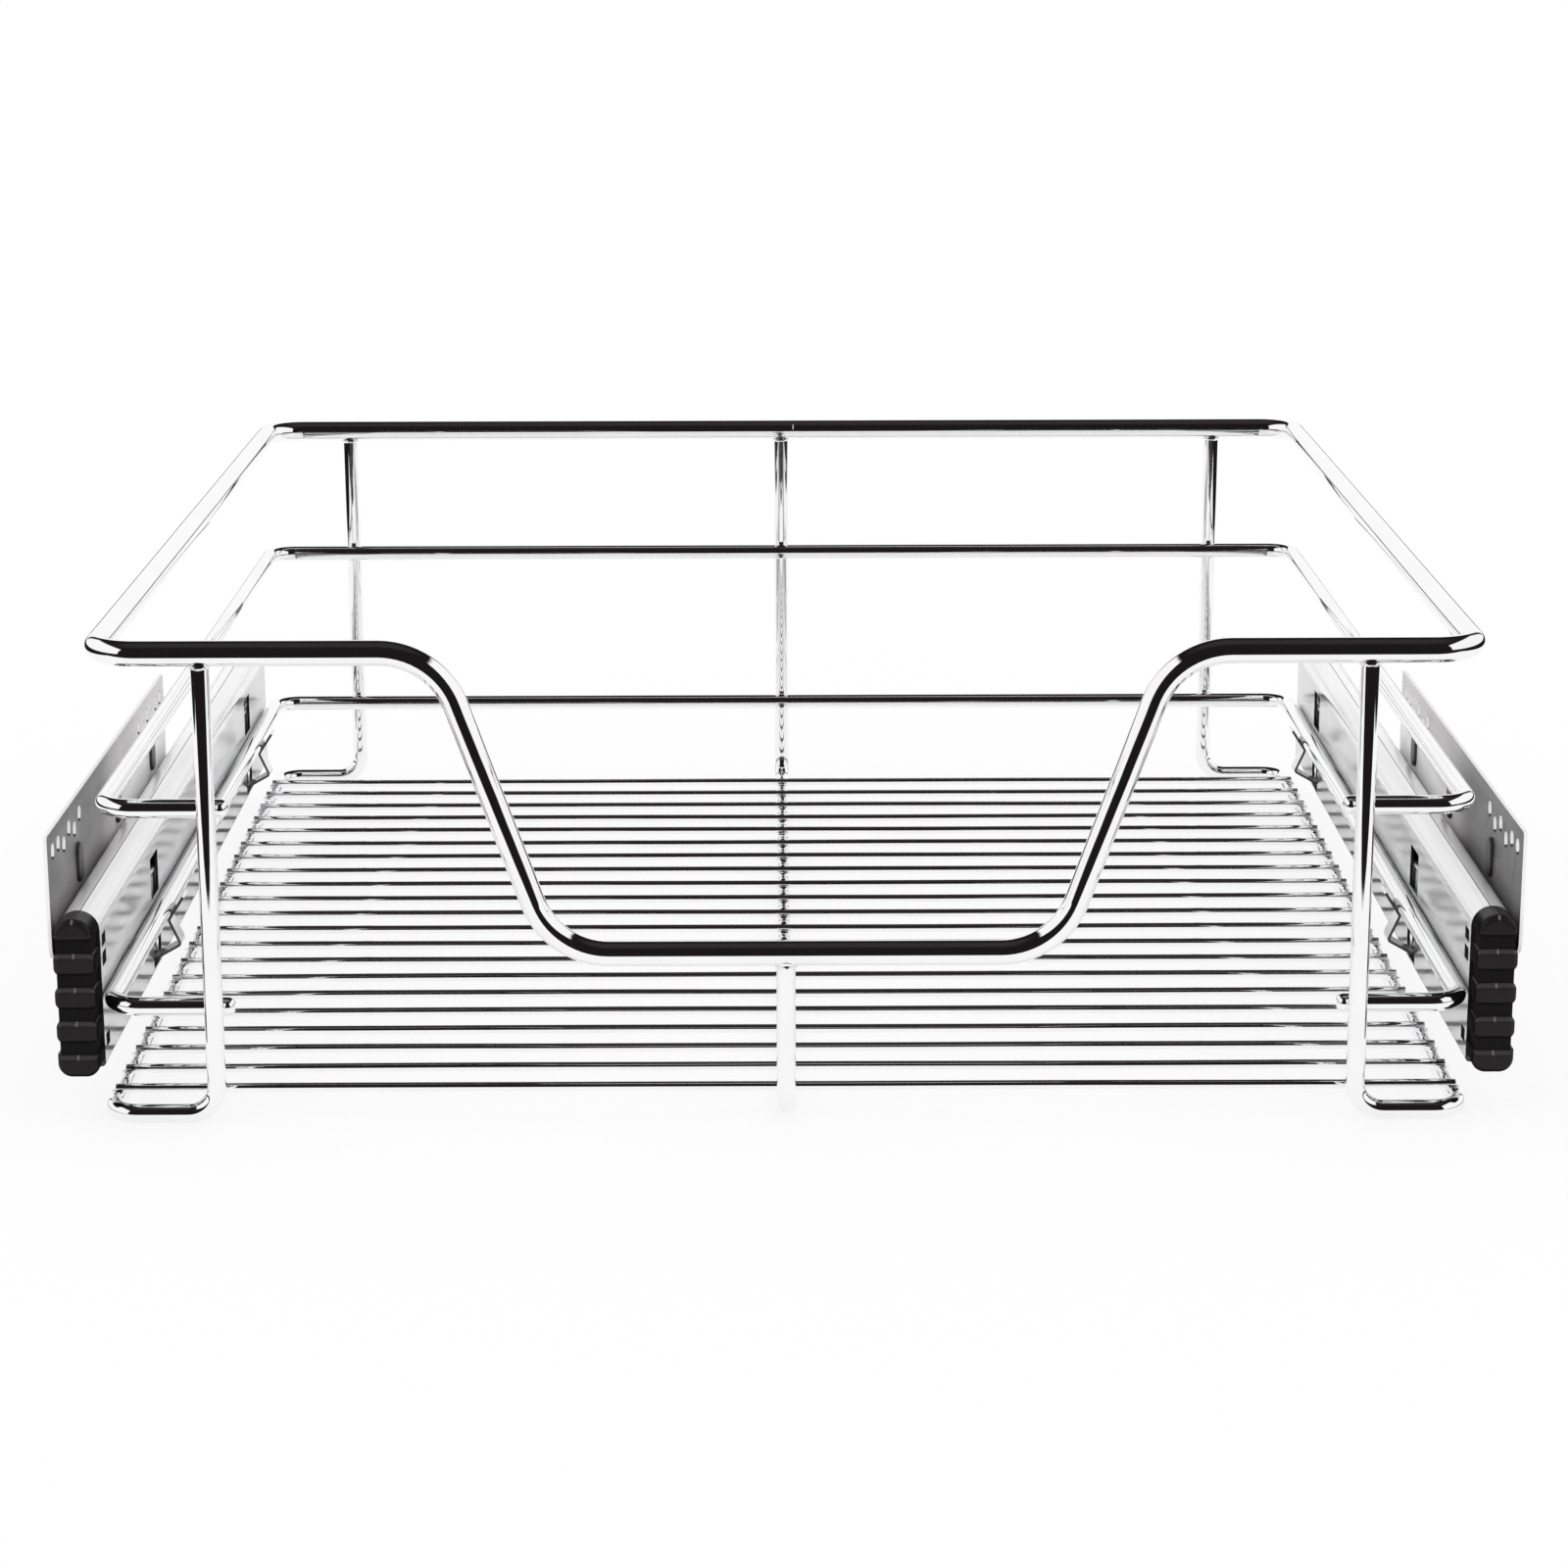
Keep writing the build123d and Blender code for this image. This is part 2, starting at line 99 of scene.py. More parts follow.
def maths(tree, operation, *values):
    """One step of arithmetic on numbers that vary over a surface."""
    return add_node(tree, "ShaderNodeMath", dict(enumerate(values)), operation=operation).outputs[0]


def soft_step(tree, value, none, full):
    """0 at one value, 1 at the other, which may be the smaller, and a smooth change between."""
    limits = {"Value": value, "From Min": min(none, full), "From Max": max(none, full)}
    if none > full:
        limits.update({"To Min": 1.0, "To Max": 0.0})
    step = add_node(tree, "ShaderNodeMapRange", limits, interpolation_type="SMOOTHSTEP")
    return step.outputs["Result"]


def mix_colours(tree, share, under, over):
    """Lay one colour over another by a share from 0 to 1."""
    mix = add_node(tree, "ShaderNodeMix", {0: share, 6: under, 7: over}, data_type="RGBA")
    return mix.outputs[2]


dark_room = (0.012, 0.0095, 0.0105, 1)
room_ceiling = (0.034, 0.028, 0.030, 1)
paper_white = (1, 1, 1, 1)
# Soft edges, from none to full, by a ray's heading: its y for the sweep, its z for the ceiling,
# and its y or z over its x for the lamps.
sweep_edge = (0.85, 0.90)
ceiling_edge = (0.80, 1.0)
lamp_back = (1.75, 1.45)
lamp_front = (1.20, 1.05)
lamp_foot = (0.05, 0.08)
lamp_head = (1.35, 1.15)

world = bpy.data.worlds.new("studio")
scene.world = world
world.use_nodes = True
sky = world.node_tree
sky.nodes.clear()
heading = add_node(sky, "ShaderNodeTexCoord").outputs["Generated"]
across, along, up = add_node(sky, "ShaderNodeSeparateXYZ", {0: heading}).outputs
sideways = maths(sky, "ABSOLUTE", across)
slant = maths(sky, "DIVIDE", along, sideways)
climb = maths(sky, "DIVIDE", up, sideways)
lamp = maths(sky, "MULTIPLY", soft_step(sky, climb, *lamp_foot), soft_step(sky, climb, *lamp_head))
lamp = maths(sky, "MULTIPLY", lamp, soft_step(sky, slant, *lamp_back))
forward = maths(sky, "MULTIPLY", slant, -1.0)
lamp = maths(sky, "MULTIPLY", lamp, soft_step(sky, forward, *lamp_front))
bright = maths(sky, "MAXIMUM", soft_step(sky, along, *sweep_edge), lamp)
ray = add_node(sky, "ShaderNodeLightPath").outputs
room = mix_colours(sky, soft_step(sky, up, *ceiling_edge), dark_room, room_ceiling)
room = mix_colours(sky, bright, room, paper_white)
seen = mix_colours(sky, ray["Is Glossy Ray"], paper_white, room)
light = add_node(sky, "ShaderNodeBackground", {"Color": seen, "Strength": 1.0})
add_node(sky, "ShaderNodeOutputWorld", {"Surface": light.outputs[0]})

table_half_width = 0.70
table_front = -0.46
table_edge = 0.03
shadow_fill = 0.8
floor_reach = 30.0
floor_z = -0.0003
floor_mesh = bpy.data.meshes.new("floor")
floor_mesh.from_pydata(
    [(x * floor_reach, y * floor_reach, floor_z) for x, y in ((-1, -1), (1, -1), (1, 1), (-1, 1))],
    [],
    [(0, 1, 2, 3)],
)
floor = bpy.data.objects.new("floor", floor_mesh)
scene.collection.objects.link(floor)
paint = bpy.data.materials.new("white_table")
paint.use_nodes = True
tree = paint.node_tree
tree.nodes.clear()
place = add_node(tree, "ShaderNodeTexCoord").outputs["Object"]
across, along, _ = add_node(tree, "ShaderNodeSeparateXYZ", {0: place}).outputs
sideways = maths(tree, "ABSOLUTE", across)
on_table = maths(
    tree,
    "MULTIPLY",
    soft_step(tree, sideways, table_half_width + table_edge, table_half_width),
    soft_step(tree, along, table_front - table_edge, table_front),
)
ray = add_node(tree, "ShaderNodeLightPath").outputs
off_table = maths(tree, "SUBTRACT", 1.0, on_table)
dark_share = maths(tree, "MULTIPLY", off_table, ray["Is Glossy Ray"])
filled = maths(tree, "MAXIMUM", ray["Is Camera Ray"], ray["Is Glossy Ray"])
filled = maths(tree, "MULTIPLY", filled, shadow_fill)
white = add_node(tree, "ShaderNodeBsdfDiffuse", {"Color": paper_white})
glow = add_node(tree, "ShaderNodeEmission", {"Color": paper_white, "Strength": 1.0})
white = add_node(
    tree, "ShaderNodeMixShader", {0: filled, 1: white.outputs[0], 2: glow.outputs[0]}
)
beyond = add_node(tree, "ShaderNodeEmission", {"Color": dark_room, "Strength": 1.0})
both = add_node(
    tree, "ShaderNodeMixShader", {0: dark_share, 1: white.outputs[0], 2: beyond.outputs[0]}
)
add_node(tree, "ShaderNodeOutputMaterial", {"Surface": both.outputs[0]})
floor_mesh.materials.append(paint)


# Rim. One 8 mm steel wire round the mouth of the basket, bent down and up again at the front as
# the way in and the grip, butt-welded to itself at the back. All the basket's wires are bent cold
# on a jig, spot-welded, and then nickel and chromium plated as one.
def handling_marks():
    """Shader group: slow swells, fine grain and the smears that hands leave on plated metal."""
    group = bpy.data.node_groups.new("handling_marks", "ShaderNodeTree")
    for name in ("Swell scale", "Grain scale"):
        group.interface.new_socket(name, in_out="INPUT", socket_type="NodeSocketFloat")
    for name in ("Swell", "Grain", "Smear"):
        group.interface.new_socket(name, in_out="OUTPUT", socket_type="NodeSocketFloat")
    given = group.nodes.new("NodeGroupInput").outputs
    results = group.nodes.new("NodeGroupOutput").inputs
    where = add_node(group, "ShaderNodeTexCoord").outputs["Object"]
    for name, scale, detail in (
        ("Swell", given["Swell scale"], 2.0),
        ("Grain", given["Grain scale"], 3.0),
        ("Smear", 28.0, 6.0),
    ):
        cloud = add_node(
            group, "ShaderNodeTexNoise", {"Vector": where, "Scale": scale, "Detail": detail}
        )
        group.links.new(cloud.outputs["Fac"], results[name])
    return group


marks = handling_marks()


def shader_inputs(material):
    """The sockets of a finish's own shader."""
    return material.node_tree.nodes["Principled BSDF"].inputs


def worn_finish(
    name, colour, worn_colour, worn_from, roughness, gloss_mark, swell_scale, grain_scale
):
    """A finish that wears from one colour to another and from one gloss to another, and the marks
    that say where."""
    material = bpy.data.materials.new(name)
    material.use_nodes = True
    tree = material.node_tree
    scales = {"Swell scale": swell_scale, "Grain scale": grain_scale}
    mark = add_node(tree, "ShaderNodeGroup", scales, node_tree=marks).outputs
    tint = add_node(tree, "ShaderNodeValToRGB", {"Fac": mark["Smear"]})
    for stop, place, shade in zip(tint.color_ramp.elements, worn_from, (colour, worn_colour)):
        stop.position = place
        stop.color = (*shade, 1)
    tree.links.new(tint.outputs["Color"], shader_inputs(material)["Base Color"])
    limits = {
        "Value": mark[gloss_mark],
        "From Min": 0.3,
        "From Max": 0.7,
        "To Min": roughness[0],
        "To Max": roughness[1],
    }
    gloss = add_node(tree, "ShaderNodeMapRange", limits)
    tree.links.new(gloss.outputs["Result"], shader_inputs(material)["Roughness"])
    return material, mark


def raise_surface(material, height, depth):
    """Raise a finish's surface by a pattern, on top of those that it has."""
    tree = material.node_tree
    normal = shader_inputs(material)["Normal"]
    bump = add_node(tree, "ShaderNodeBump", {"Height": height, "Strength": 1.0, "Distance": depth})
    if normal.links:
        tree.links.new(normal.links[0].from_socket, bump.inputs["Normal"])
    tree.links.new(bump.outputs["Normal"], normal)


def metal_finish(
    name, colour, worn_colour, roughness, swell_scale, swell_height, grain_scale=900,
    grain_height=0.0, metallic=1.0,
):
    """Metal with slow swells and fine grain in its surface and smears in its colour and gloss."""
    worn_from = (0.35, 0.75)
    material, mark = worn_finish(
        name, colour, worn_colour, worn_from, roughness, "Smear", swell_scale, grain_scale
    )
    shader_inputs(material)["Metallic"].default_value = metallic
    raise_surface(material, mark["Swell"], swell_height)
    if grain_height:
        raise_surface(material, mark["Grain"], grain_height)
    return material


chrome = metal_finish(
    "chrome_plating", colour=(0.95, 0.95, 0.955), worn_colour=(0.90, 0.90, 0.91),
    roughness=(0.015, 0.05), swell_scale=45, swell_height=0.00006,
)


def new_tree(name, inputs):
    """Geometry node tree with named inputs, its input node and a call that closes it."""
    tree = bpy.data.node_groups.new(name, "GeometryNodeTree")
    tree.interface.new_socket("Geometry", in_out="INPUT", socket_type="NodeSocketGeometry")
    for label, kind in inputs.items():
        tree.interface.new_socket(label, in_out="INPUT", socket_type=f"NodeSocket{kind}")
    tree.interface.new_socket("Finish", in_out="INPUT", socket_type="NodeSocketMaterial")
    tree.interface.new_socket("Geometry", in_out="OUTPUT", socket_type="NodeSocketGeometry")
    given = tree.nodes.new("NodeGroupInput").outputs
    sharp_fold = 0.7

    def close(shape):
        """Shade the shape smooth but for its sharp edges, give it its finish and put it out."""
        smooth = add_node(tree, "GeometryNodeSetShadeSmooth", {"Geometry": shape})
        fold = add_node(tree, "GeometryNodeInputMeshEdgeAngle").outputs["Unsigned Angle"]
        sharp = add_node(
            tree,
            "GeometryNodeSetShadeSmooth",
            {
                "Geometry": smooth.outputs[0],
                "Selection": maths(tree, "GREATER_THAN", fold, sharp_fold),
                "Shade Smooth": False,
            },
            domain="EDGE",
        )
        real = add_node(tree, "GeometryNodeRealizeInstances", {"Geometry": sharp.outputs[0]})
        done = add_node(
            tree,
            "GeometryNodeSetMaterial",
            {"Geometry": real.outputs[0], "Material": given["Finish"]},
        )
        tree.links.new(done.outputs[0], tree.nodes.new("NodeGroupOutput").inputs[0])

    return tree, given, close


def start_points(points, edges=(), **values):
    """Object of bare points and the runs between them, with the values that each point carries."""
    mesh = bpy.data.meshes.new("points")
    mesh.from_pydata(points, edges, [])
    for name, numbers in values.items():
        is_vector = hasattr(numbers[0], "__len__")
        layer = mesh.attributes.new(name, "FLOAT_VECTOR" if is_vector else "FLOAT", "POINT")
        for item, number in zip(layer.data, numbers):
            setattr(item, "vector" if is_vector else "value", number)
    start = bpy.data.objects.new("points", mesh)
    scene.collection.objects.link(start)
    return start


def make_piece(name, start, tree, body, slot, replaced=(), **values):
    """Run a node tree on a start object, keep the plain mesh, and put it on its body."""
    modifier = start.modifiers.new("shape", "NODES")
    modifier.node_group = tree
    for item in tree.interface.items_tree:
        key = item.name.lower().replace(" ", "_")
        if item.in_out == "INPUT" and key in values:
            modifier[item.identifier] = values[key]
    graph = bpy.context.evaluated_depsgraph_get()
    mesh = bpy.data.meshes.new_from_object(start.evaluated_get(graph))
    bpy.data.objects.remove(start)
    mesh.name = name
    piece = bpy.data.objects.new(name, mesh)
    scene.collection.objects.link(piece)
    if replaced:
        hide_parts(*replaced)
    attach(piece, body)
    return piece


def named_value(tree, name, kind="FLOAT"):
    """A value that each point carries under a name."""
    value = add_node(tree, "GeometryNodeInputNamedAttribute", {"Name": name}, data_type=kind)
    return value.outputs["Attribute"]


def vector_maths(tree, operation, *values, **others):
    """One step of arithmetic on vectors."""
    inputs = dict(enumerate(values)) | others
    outputs = add_node(tree, "ShaderNodeVectorMath", inputs, operation=operation).outputs
    return outputs["Value" if operation in ("DISTANCE", "LENGTH", "DOT_PRODUCT") else "Vector"]


def shift(tree, shape, offset):
    """Move a shape's points."""
    moved = add_node(tree, "GeometryNodeSetPosition", {"Geometry": shape, "Offset": offset})
    return moved.outputs[0]


def round_section(tree, given, line):
    """Wire of round section along a line."""
    ring = add_node(
        tree,
        "GeometryNodeCurvePrimitiveCircle",
        {"Resolution": given["Sides"], "Radius": given["Radius"]},
    )
    tube = add_node(
        tree,
        "GeometryNodeCurveToMesh",
        {"Curve": line, "Profile Curve": ring.outputs[0], "Fill Caps": True},
    )
    return tube.outputs[0]


def bent_wire_tree():
    """Wire bent at the corners of its route by the radius each one carries. Slack lets it in
    towards the basket's middle by up to that share, in slow swells."""
    tree, given, close = new_tree(
        "bent_wire",
        {
            "Radius": "Float",
            "Bend steps": "Int",
            "Run step": "Float",
            "Sides": "Int",
            "Slack": "Float",
        },
    )
    least_bend = 0.0001
    basket_middle = (0, 0, 0.078)
    swell_scale = 9.0
    join_gap = 0.000002
    line = add_node(tree, "GeometryNodeMeshToCurve", {"Mesh": given["Geometry"]}).outputs[0]
    bend = named_value(tree, "bend")
    bent = maths(tree, "GREATER_THAN", bend, least_bend)
    steps = maths(tree, "MAXIMUM", maths(tree, "MULTIPLY", bent, given["Bend steps"]), 1.0)
    line = add_node(
        tree,
        "GeometryNodeFilletCurve",
        {"Curve": line, "Radius": bend, "Count": steps},
        mode="POLY",
    ).outputs[0]
    here = add_node(tree, "GeometryNodeInputPosition").outputs[0]
    index = add_node(tree, "GeometryNodeInputIndex").outputs[0]
    follower = add_node(tree, "GeometryNodeOffsetPointInCurve", {"Point Index": index, "Offset": 1})
    there = add_node(
        tree,
        "GeometryNodeFieldAtIndex",
        {"Value": here, "Index": follower.outputs["Point Index"]},
        data_type="FLOAT_VECTOR",
    )
    run = vector_maths(tree, "DISTANCE", here, there.outputs[0])
    cuts = maths(tree, "FLOOR", maths(tree, "DIVIDE", run, given["Run step"]))
    line = add_node(tree, "GeometryNodeSubdivideCurve", {"Curve": line, "Cuts": cuts}).outputs[0]
    cloud = add_node(
        tree, "ShaderNodeTexNoise", {"Vector": here, "Scale": swell_scale, "Detail": 1.0}
    )
    outward = vector_maths(tree, "SUBTRACT", here, basket_middle)
    swell = vector_maths(tree, "MULTIPLY", outward, cloud.outputs["Color"])
    inward = maths(tree, "MULTIPLY", given["Slack"], -1.0)
    line = shift(tree, line, vector_maths(tree, "SCALE", swell, Scale=inward))
    tube = add_node(
        tree,
        "GeometryNodeMergeByDistance",
        {"Geometry": round_section(tree, given, line), "Distance": join_gap},
    )
    close(tube.outputs[0])
    return tree


bent_wire = bent_wire_tree()
MM = 0.001
bend_steps = 14
run_step = 12.0
wire_slack = 0.0010


def bend_wire(name, corners, bends, radius, sides, closed=False):
    """Bend one basket wire. Corners and bend radii are in millimetres."""
    count = len(corners)
    edges = [(i, i + 1) for i in range(count - 1)]
    if closed:
        edges.append((count - 1, 0))
    start = start_points([Vector(c) * MM for c in corners], edges, bend=[b * MM for b in bends])
    return make_piece(
        name + "_bent", start, bent_wire, "basket", "chrome_wire", (name,),
        radius=radius * MM, bend_steps=bend_steps, run_step=run_step * MM, sides=sides,
        slack=wire_slack, finish=chrome,
    )


rim_radius = 4.0
rim_sides = 36
rim_x = 213.5
rim_y = 216.0
rim_z = 152.0
rim_corner = 14.0
dip_bar_z = 55.4
dip_shift = 6.0
dip_top = 113.5
dip_bottom = 79.0
dip_bend = 25.0
bend_wire(
    "rim_wire",
    [
        (-rim_x, -rim_y, rim_z),
        (dip_shift - dip_top, -rim_y, rim_z),
        (dip_shift - dip_bottom, -rim_y, dip_bar_z),
        (dip_shift + dip_bottom, -rim_y, dip_bar_z),
        (dip_shift + dip_top, -rim_y, rim_z),
        (rim_x, -rim_y, rim_z),
        (rim_x, rim_y, rim_z),
        (-rim_x, rim_y, rim_z),
    ],
    [rim_corner] + 4 * [dip_bend] + 3 * [rim_corner],
    rim_radius,
    rim_sides,
    closed=True,
)


# Rings. Two 6 mm wires, bent round three sides. Each is open at the front, where its cut ends turn
# in and are welded behind the front uprights. The lower one hangs in the slides' clips.
def round_ends(piece, size):
    """Break the sharp rims of a wire's sheared ends."""
    shape = bmesh.new()
    shape.from_mesh(piece.data)
    rims = {edge for face in shape.faces if len(face.verts) > 4 for edge in face.edges}
    bmesh.ops.bevel(
        shape, geom=list(rims), offset=size, segments=3, profile=0.5, affect="EDGES"
    )
    shape.to_mesh(piece.data)
    shape.free()


wire_radius = 3.0
wire_sides = 28
ring_x = 213.8
ring_y = 209.95
ring_end_x = 174.0
ring_corner = 10.0
ring_end_edge = 2.0
ring_heights = {"middle_ring_wire": 101.2, "lower_ring_wire": 36.6}
for name, z in ring_heights.items():
    ring = bend_wire(
        name,
        [
            (-ring_end_x, -ring_y, z),
            (-ring_x, -ring_y, z),
            (-ring_x, ring_y, z),
            (ring_x, ring_y, z),
            (ring_x, -ring_y, z),
            (ring_end_x, -ring_y, z),
        ],
        [0] + 4 * [ring_corner] + [0],
        wire_radius,
        wire_sides,
    )
    round_ends(ring, ring_end_edge * MM)


# Frames. Each side frame is one 6 mm wire: front upright, foot, base side, foot and rear upright.
# The centre frame runs from the dip down, back under the base and up to the rim. Their cut ends
# are coped to the round rim wire and welded under it.
upright_x = 180.0
base_z = 3.0
frame_bend = 9.0
under_rim = 2.6
for side, name in ((-1, "left_side_frame_wire"), (1, "right_side_frame_wire")):
    bend_wire(
        name,
        [
            (side * upright_x, -rim_y, rim_z - under_rim),
            (side * upright_x, -rim_y, base_z),
            (side * ring_x, -rim_y, base_z),
            (side * ring_x, rim_y, base_z),
            (side * upright_x, rim_y, base_z),
            (side * upright_x, rim_y, rim_z - under_rim),
        ],
        [0] + 4 * [frame_bend] + [0],
        wire_radius,
        wire_sides,
    )
bend_wire(
    "centre_frame_wire",
    [
        (0, -rim_y, dip_bar_z - under_rim),
        (0, -rim_y, base_z),
        (0, rim_y, base_z),
        (0, rim_y, rim_z - under_rim),
    ],
    [0, frame_bend, frame_bend, 0],
    wire_radius,
    wire_sides,
)


# Base. Twenty-one straight 3 mm wires, sheared to length and laid across the side and centre
# frames, one jig pitch apart. Thin wire never comes off the coil quite straight.
def place_copies(tree, points, shape, **inputs):
    """Real copies of a shape, one at each point."""
    inputs = {"Points": points, "Instance": shape, **inputs}
    placed = add_node(tree, "GeometryNodeInstanceOnPoints", inputs)
    real = add_node(tree, "GeometryNodeRealizeInstances", {"Geometry": placed.outputs[0]})
    return real.outputs[0]


def base_wires_tree():
    """Copies of one straight wire, a pitch apart, each with a slight bow of its own."""
    tree, given, close = new_tree(
        "base_wires",
        {"Count": "Int", "Pitch": "Vector", "Radius": "Float", "Sides": "Int", "Bow": "Float"},
    )
    bow_scale = (6.0, 400.0, 0.0)
    noise_middle = (0.5, 0.5, 0.5)
    across_wire = (0.0, 1.0, 1.0)
    line = add_node(tree, "GeometryNodeMeshToCurve", {"Mesh": given["Geometry"]})
    girth = named_value(tree, "girth")
    line = add_node(tree, "GeometryNodeSetCurveRadius", {"Curve": line.outputs[0], "Radius": girth})
    row = add_node(
        tree,
        "GeometryNodeMeshLine",
        {"Count": given["Count"], "Offset": given["Pitch"]},
        mode="OFFSET",
    )
    laid = place_copies(tree, row.outputs[0], line.outputs[0])
    here = add_node(tree, "GeometryNodeInputPosition").outputs[0]
    spread = vector_maths(tree, "MULTIPLY", here, bow_scale)
    cloud = add_node(tree, "ShaderNodeTexNoise", {"Vector": spread, "Scale": 1.0, "Detail": 1.0})
    bow = vector_maths(tree, "SUBTRACT", cloud.outputs["Color"], noise_middle)
    bow = vector_maths(tree, "MULTIPLY", bow, across_wire)
    bow = vector_maths(tree, "SCALE", bow, Scale=given["Bow"])
    close(round_section(tree, given, shift(tree, laid, bow)))
    return tree


base_radius = 1.5
base_sides = 16
base_wire_z = 7.55
base_pitch = 19.5
base_bow = 0.7
first_base_y = -204.0
base_count = 21
base_steps = 30
sheared_edge = 0.3
sheared_girth = 0.8
stations = [-ring_x, -ring_x + sheared_edge]
stations += [-ring_x * (1 - 2 * i / base_steps) for i in range(1, base_steps)]
stations += [ring_x - sheared_edge, ring_x]
start = start_points(
    [(x * MM, first_base_y * MM, base_wire_z * MM) for x in stations],
    [(i, i + 1) for i in range(len(stations) - 1)],
    girth=[sheared_girth] + [1.0] * (len(stations) - 2) + [sheared_girth],
)
make_piece(
    "base_cross_wires_laid", start, base_wires_tree(), "basket", "chrome_wire",
    ("base_cross_wires",),
    count=base_count, pitch=(0, base_pitch * MM, 0), radius=base_radius * MM, sides=base_sides,
    bow=base_bow * MM, finish=chrome,
)


# Welds. Where wires cross or butt they are resistance-welded, and the squeezed-out metal stands
# round each joint as a small plated bead. The rim's own butt weld shows as a ridge at the back.
def weld_tree():
    """A lumpy bead at each point, of the size that the point carries."""
    tree, given, close = new_tree(
        "weld_beads", {"Lumps": "Float", "Segments": "Int", "Rings": "Int"}
    )
    lump_scale = 550.0
    noise_middle = 0.5
    ball = add_node(
        tree,
        "GeometryNodeMeshUVSphere",
        {"Segments": given["Segments"], "Rings": given["Rings"], "Radius": 1.0},
    )
    size = named_value(tree, "size", "FLOAT_VECTOR")
    beads = place_copies(tree, given["Geometry"], ball.outputs[0], Scale=size)
    here = add_node(tree, "GeometryNodeInputPosition").outputs[0]
    cloud = add_node(
        tree, "ShaderNodeTexNoise", {"Vector": here, "Scale": lump_scale, "Detail": 1.0}
    )
    lift = maths(tree, "SUBTRACT", cloud.outputs["Fac"], noise_middle)
    lift = maths(tree, "MULTIPLY", lift, given["Lumps"])
    outward = add_node(tree, "GeometryNodeInputNormal").outputs[0]
    close(shift(tree, beads, vector_maths(tree, "SCALE", outward, Scale=lift)))
    return tree


butt_bead = (3.5, 3.5, 1.1)
cross_bead = (2.5, 1.3, 2.5)
base_bead = (2.2, 3.0, 1.1)
rim_bead = (0.9, 4.15, 4.15)
rim_bead_x = 5.0
rim_bead_sink = 0.15
butt_bead_sink = 0.2
base_bead_inset = 0.6
bead_lumps = 1.2
bead_segments = 16
bead_rings = 10
under_wire = rim_radius + butt_bead_sink
beads = [
    ((rim_bead_x, rim_y - rim_bead_sink, rim_z - rim_bead_sink), rim_bead),
    ((0, -rim_y, dip_bar_z - under_wire), butt_bead),
    ((0, rim_y, rim_z - under_wire), butt_bead),
]
for x in (-upright_x, upright_x):
    for y in (-rim_y, rim_y):
        beads.append(((x, y, rim_z - under_wire), butt_bead))
for z in ring_heights.values():
    for x, y in ((-upright_x, -1), (upright_x, -1), (-upright_x, 1), (0, 1), (upright_x, 1)):
        beads.append(((x, y * (rim_y - wire_radius), z), cross_bead))
for i in range(base_count):
    for x in (-ring_x + base_bead_inset, 0, ring_x - base_bead_inset):
        beads.append(((x, first_base_y + i * base_pitch, 2 * wire_radius), base_bead))
start = start_points(
    [Vector(place) * MM for place, _ in beads], size=[Vector(size) * MM for _, size in beads]
)
make_piece(
    "weld_beads", start, weld_tree(), "basket", "chrome_wire",
    lumps=bead_lumps * MM, segments=bead_segments, rings=bead_rings, finish=chrome,
)


# Cabinet plates. Each is 1.2 mm cold-rolled sheet, blanked with two groups of staggered screw
# holes, pressed with three upright ribs, brushed and zinc plated. It screws to the cabinet's side.
def ease_edges(node, name, finish, slot, edge, ripple=None, **worked):
    """Copy a pressed piece, join up its triangles, ease its cut edges and put it in its place.
    Ripple moves its surface, and each name in worked marks the faces that its test picks."""
    join_gap = 0.000002
    flat_fold = math.radians(0.5)
    cut_fold = 0.9
    sharp_fold = math.radians(28)
    source = frame["nodes"][node]
    shape = bmesh.new()
    shape.from_mesh(source.data)
    bmesh.ops.remove_doubles(shape, verts=shape.verts, dist=join_gap)
    bmesh.ops.dissolve_limit(shape, angle_limit=flat_fold, verts=shape.verts, edges=shape.edges)
    cut = [e for e in shape.edges if len(e.link_faces) == 2 and e.calc_face_angle() > cut_fold]
    bmesh.ops.bevel(
        shape, geom=cut, offset=edge, segments=2, profile=0.6, affect="EDGES", clamp_overlap=False
    )
    if ripple:
        ripple(shape)
    shape.normal_update()
    for mark, picks in worked.items():
        layer = shape.faces.layers.float.new(mark)
        for face in shape.faces:
            face[layer] = float(picks(face.normal, face.calc_center_median()))
    mesh = bpy.data.meshes.new(name)
    shape.to_mesh(mesh)
    shape.free()
    for layer in [a.name for a in mesh.attributes if "custom_normal" in a.name]:
        mesh.attributes.remove(mesh.attributes[layer])
    mesh.shade_smooth()
    mesh.set_sharp_from_angle(angle=sharp_fold)
    mesh.materials.clear()
    mesh.materials.append(finish)
    piece = bpy.data.objects.new(name, mesh)
    scene.collection.objects.link(piece)
    flat = piece.modifiers.new("flat", "WEIGHTED_NORMAL")
    flat.keep_sharp = True
    flat.weight = 100
    graph = bpy.context.evaluated_depsgraph_get()
    weighted = bpy.data.meshes.new_from_object(piece.evaluated_get(graph))
    piece.modifiers.clear()
    piece.data = weighted
    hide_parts(node)
    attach(piece, source["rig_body"])


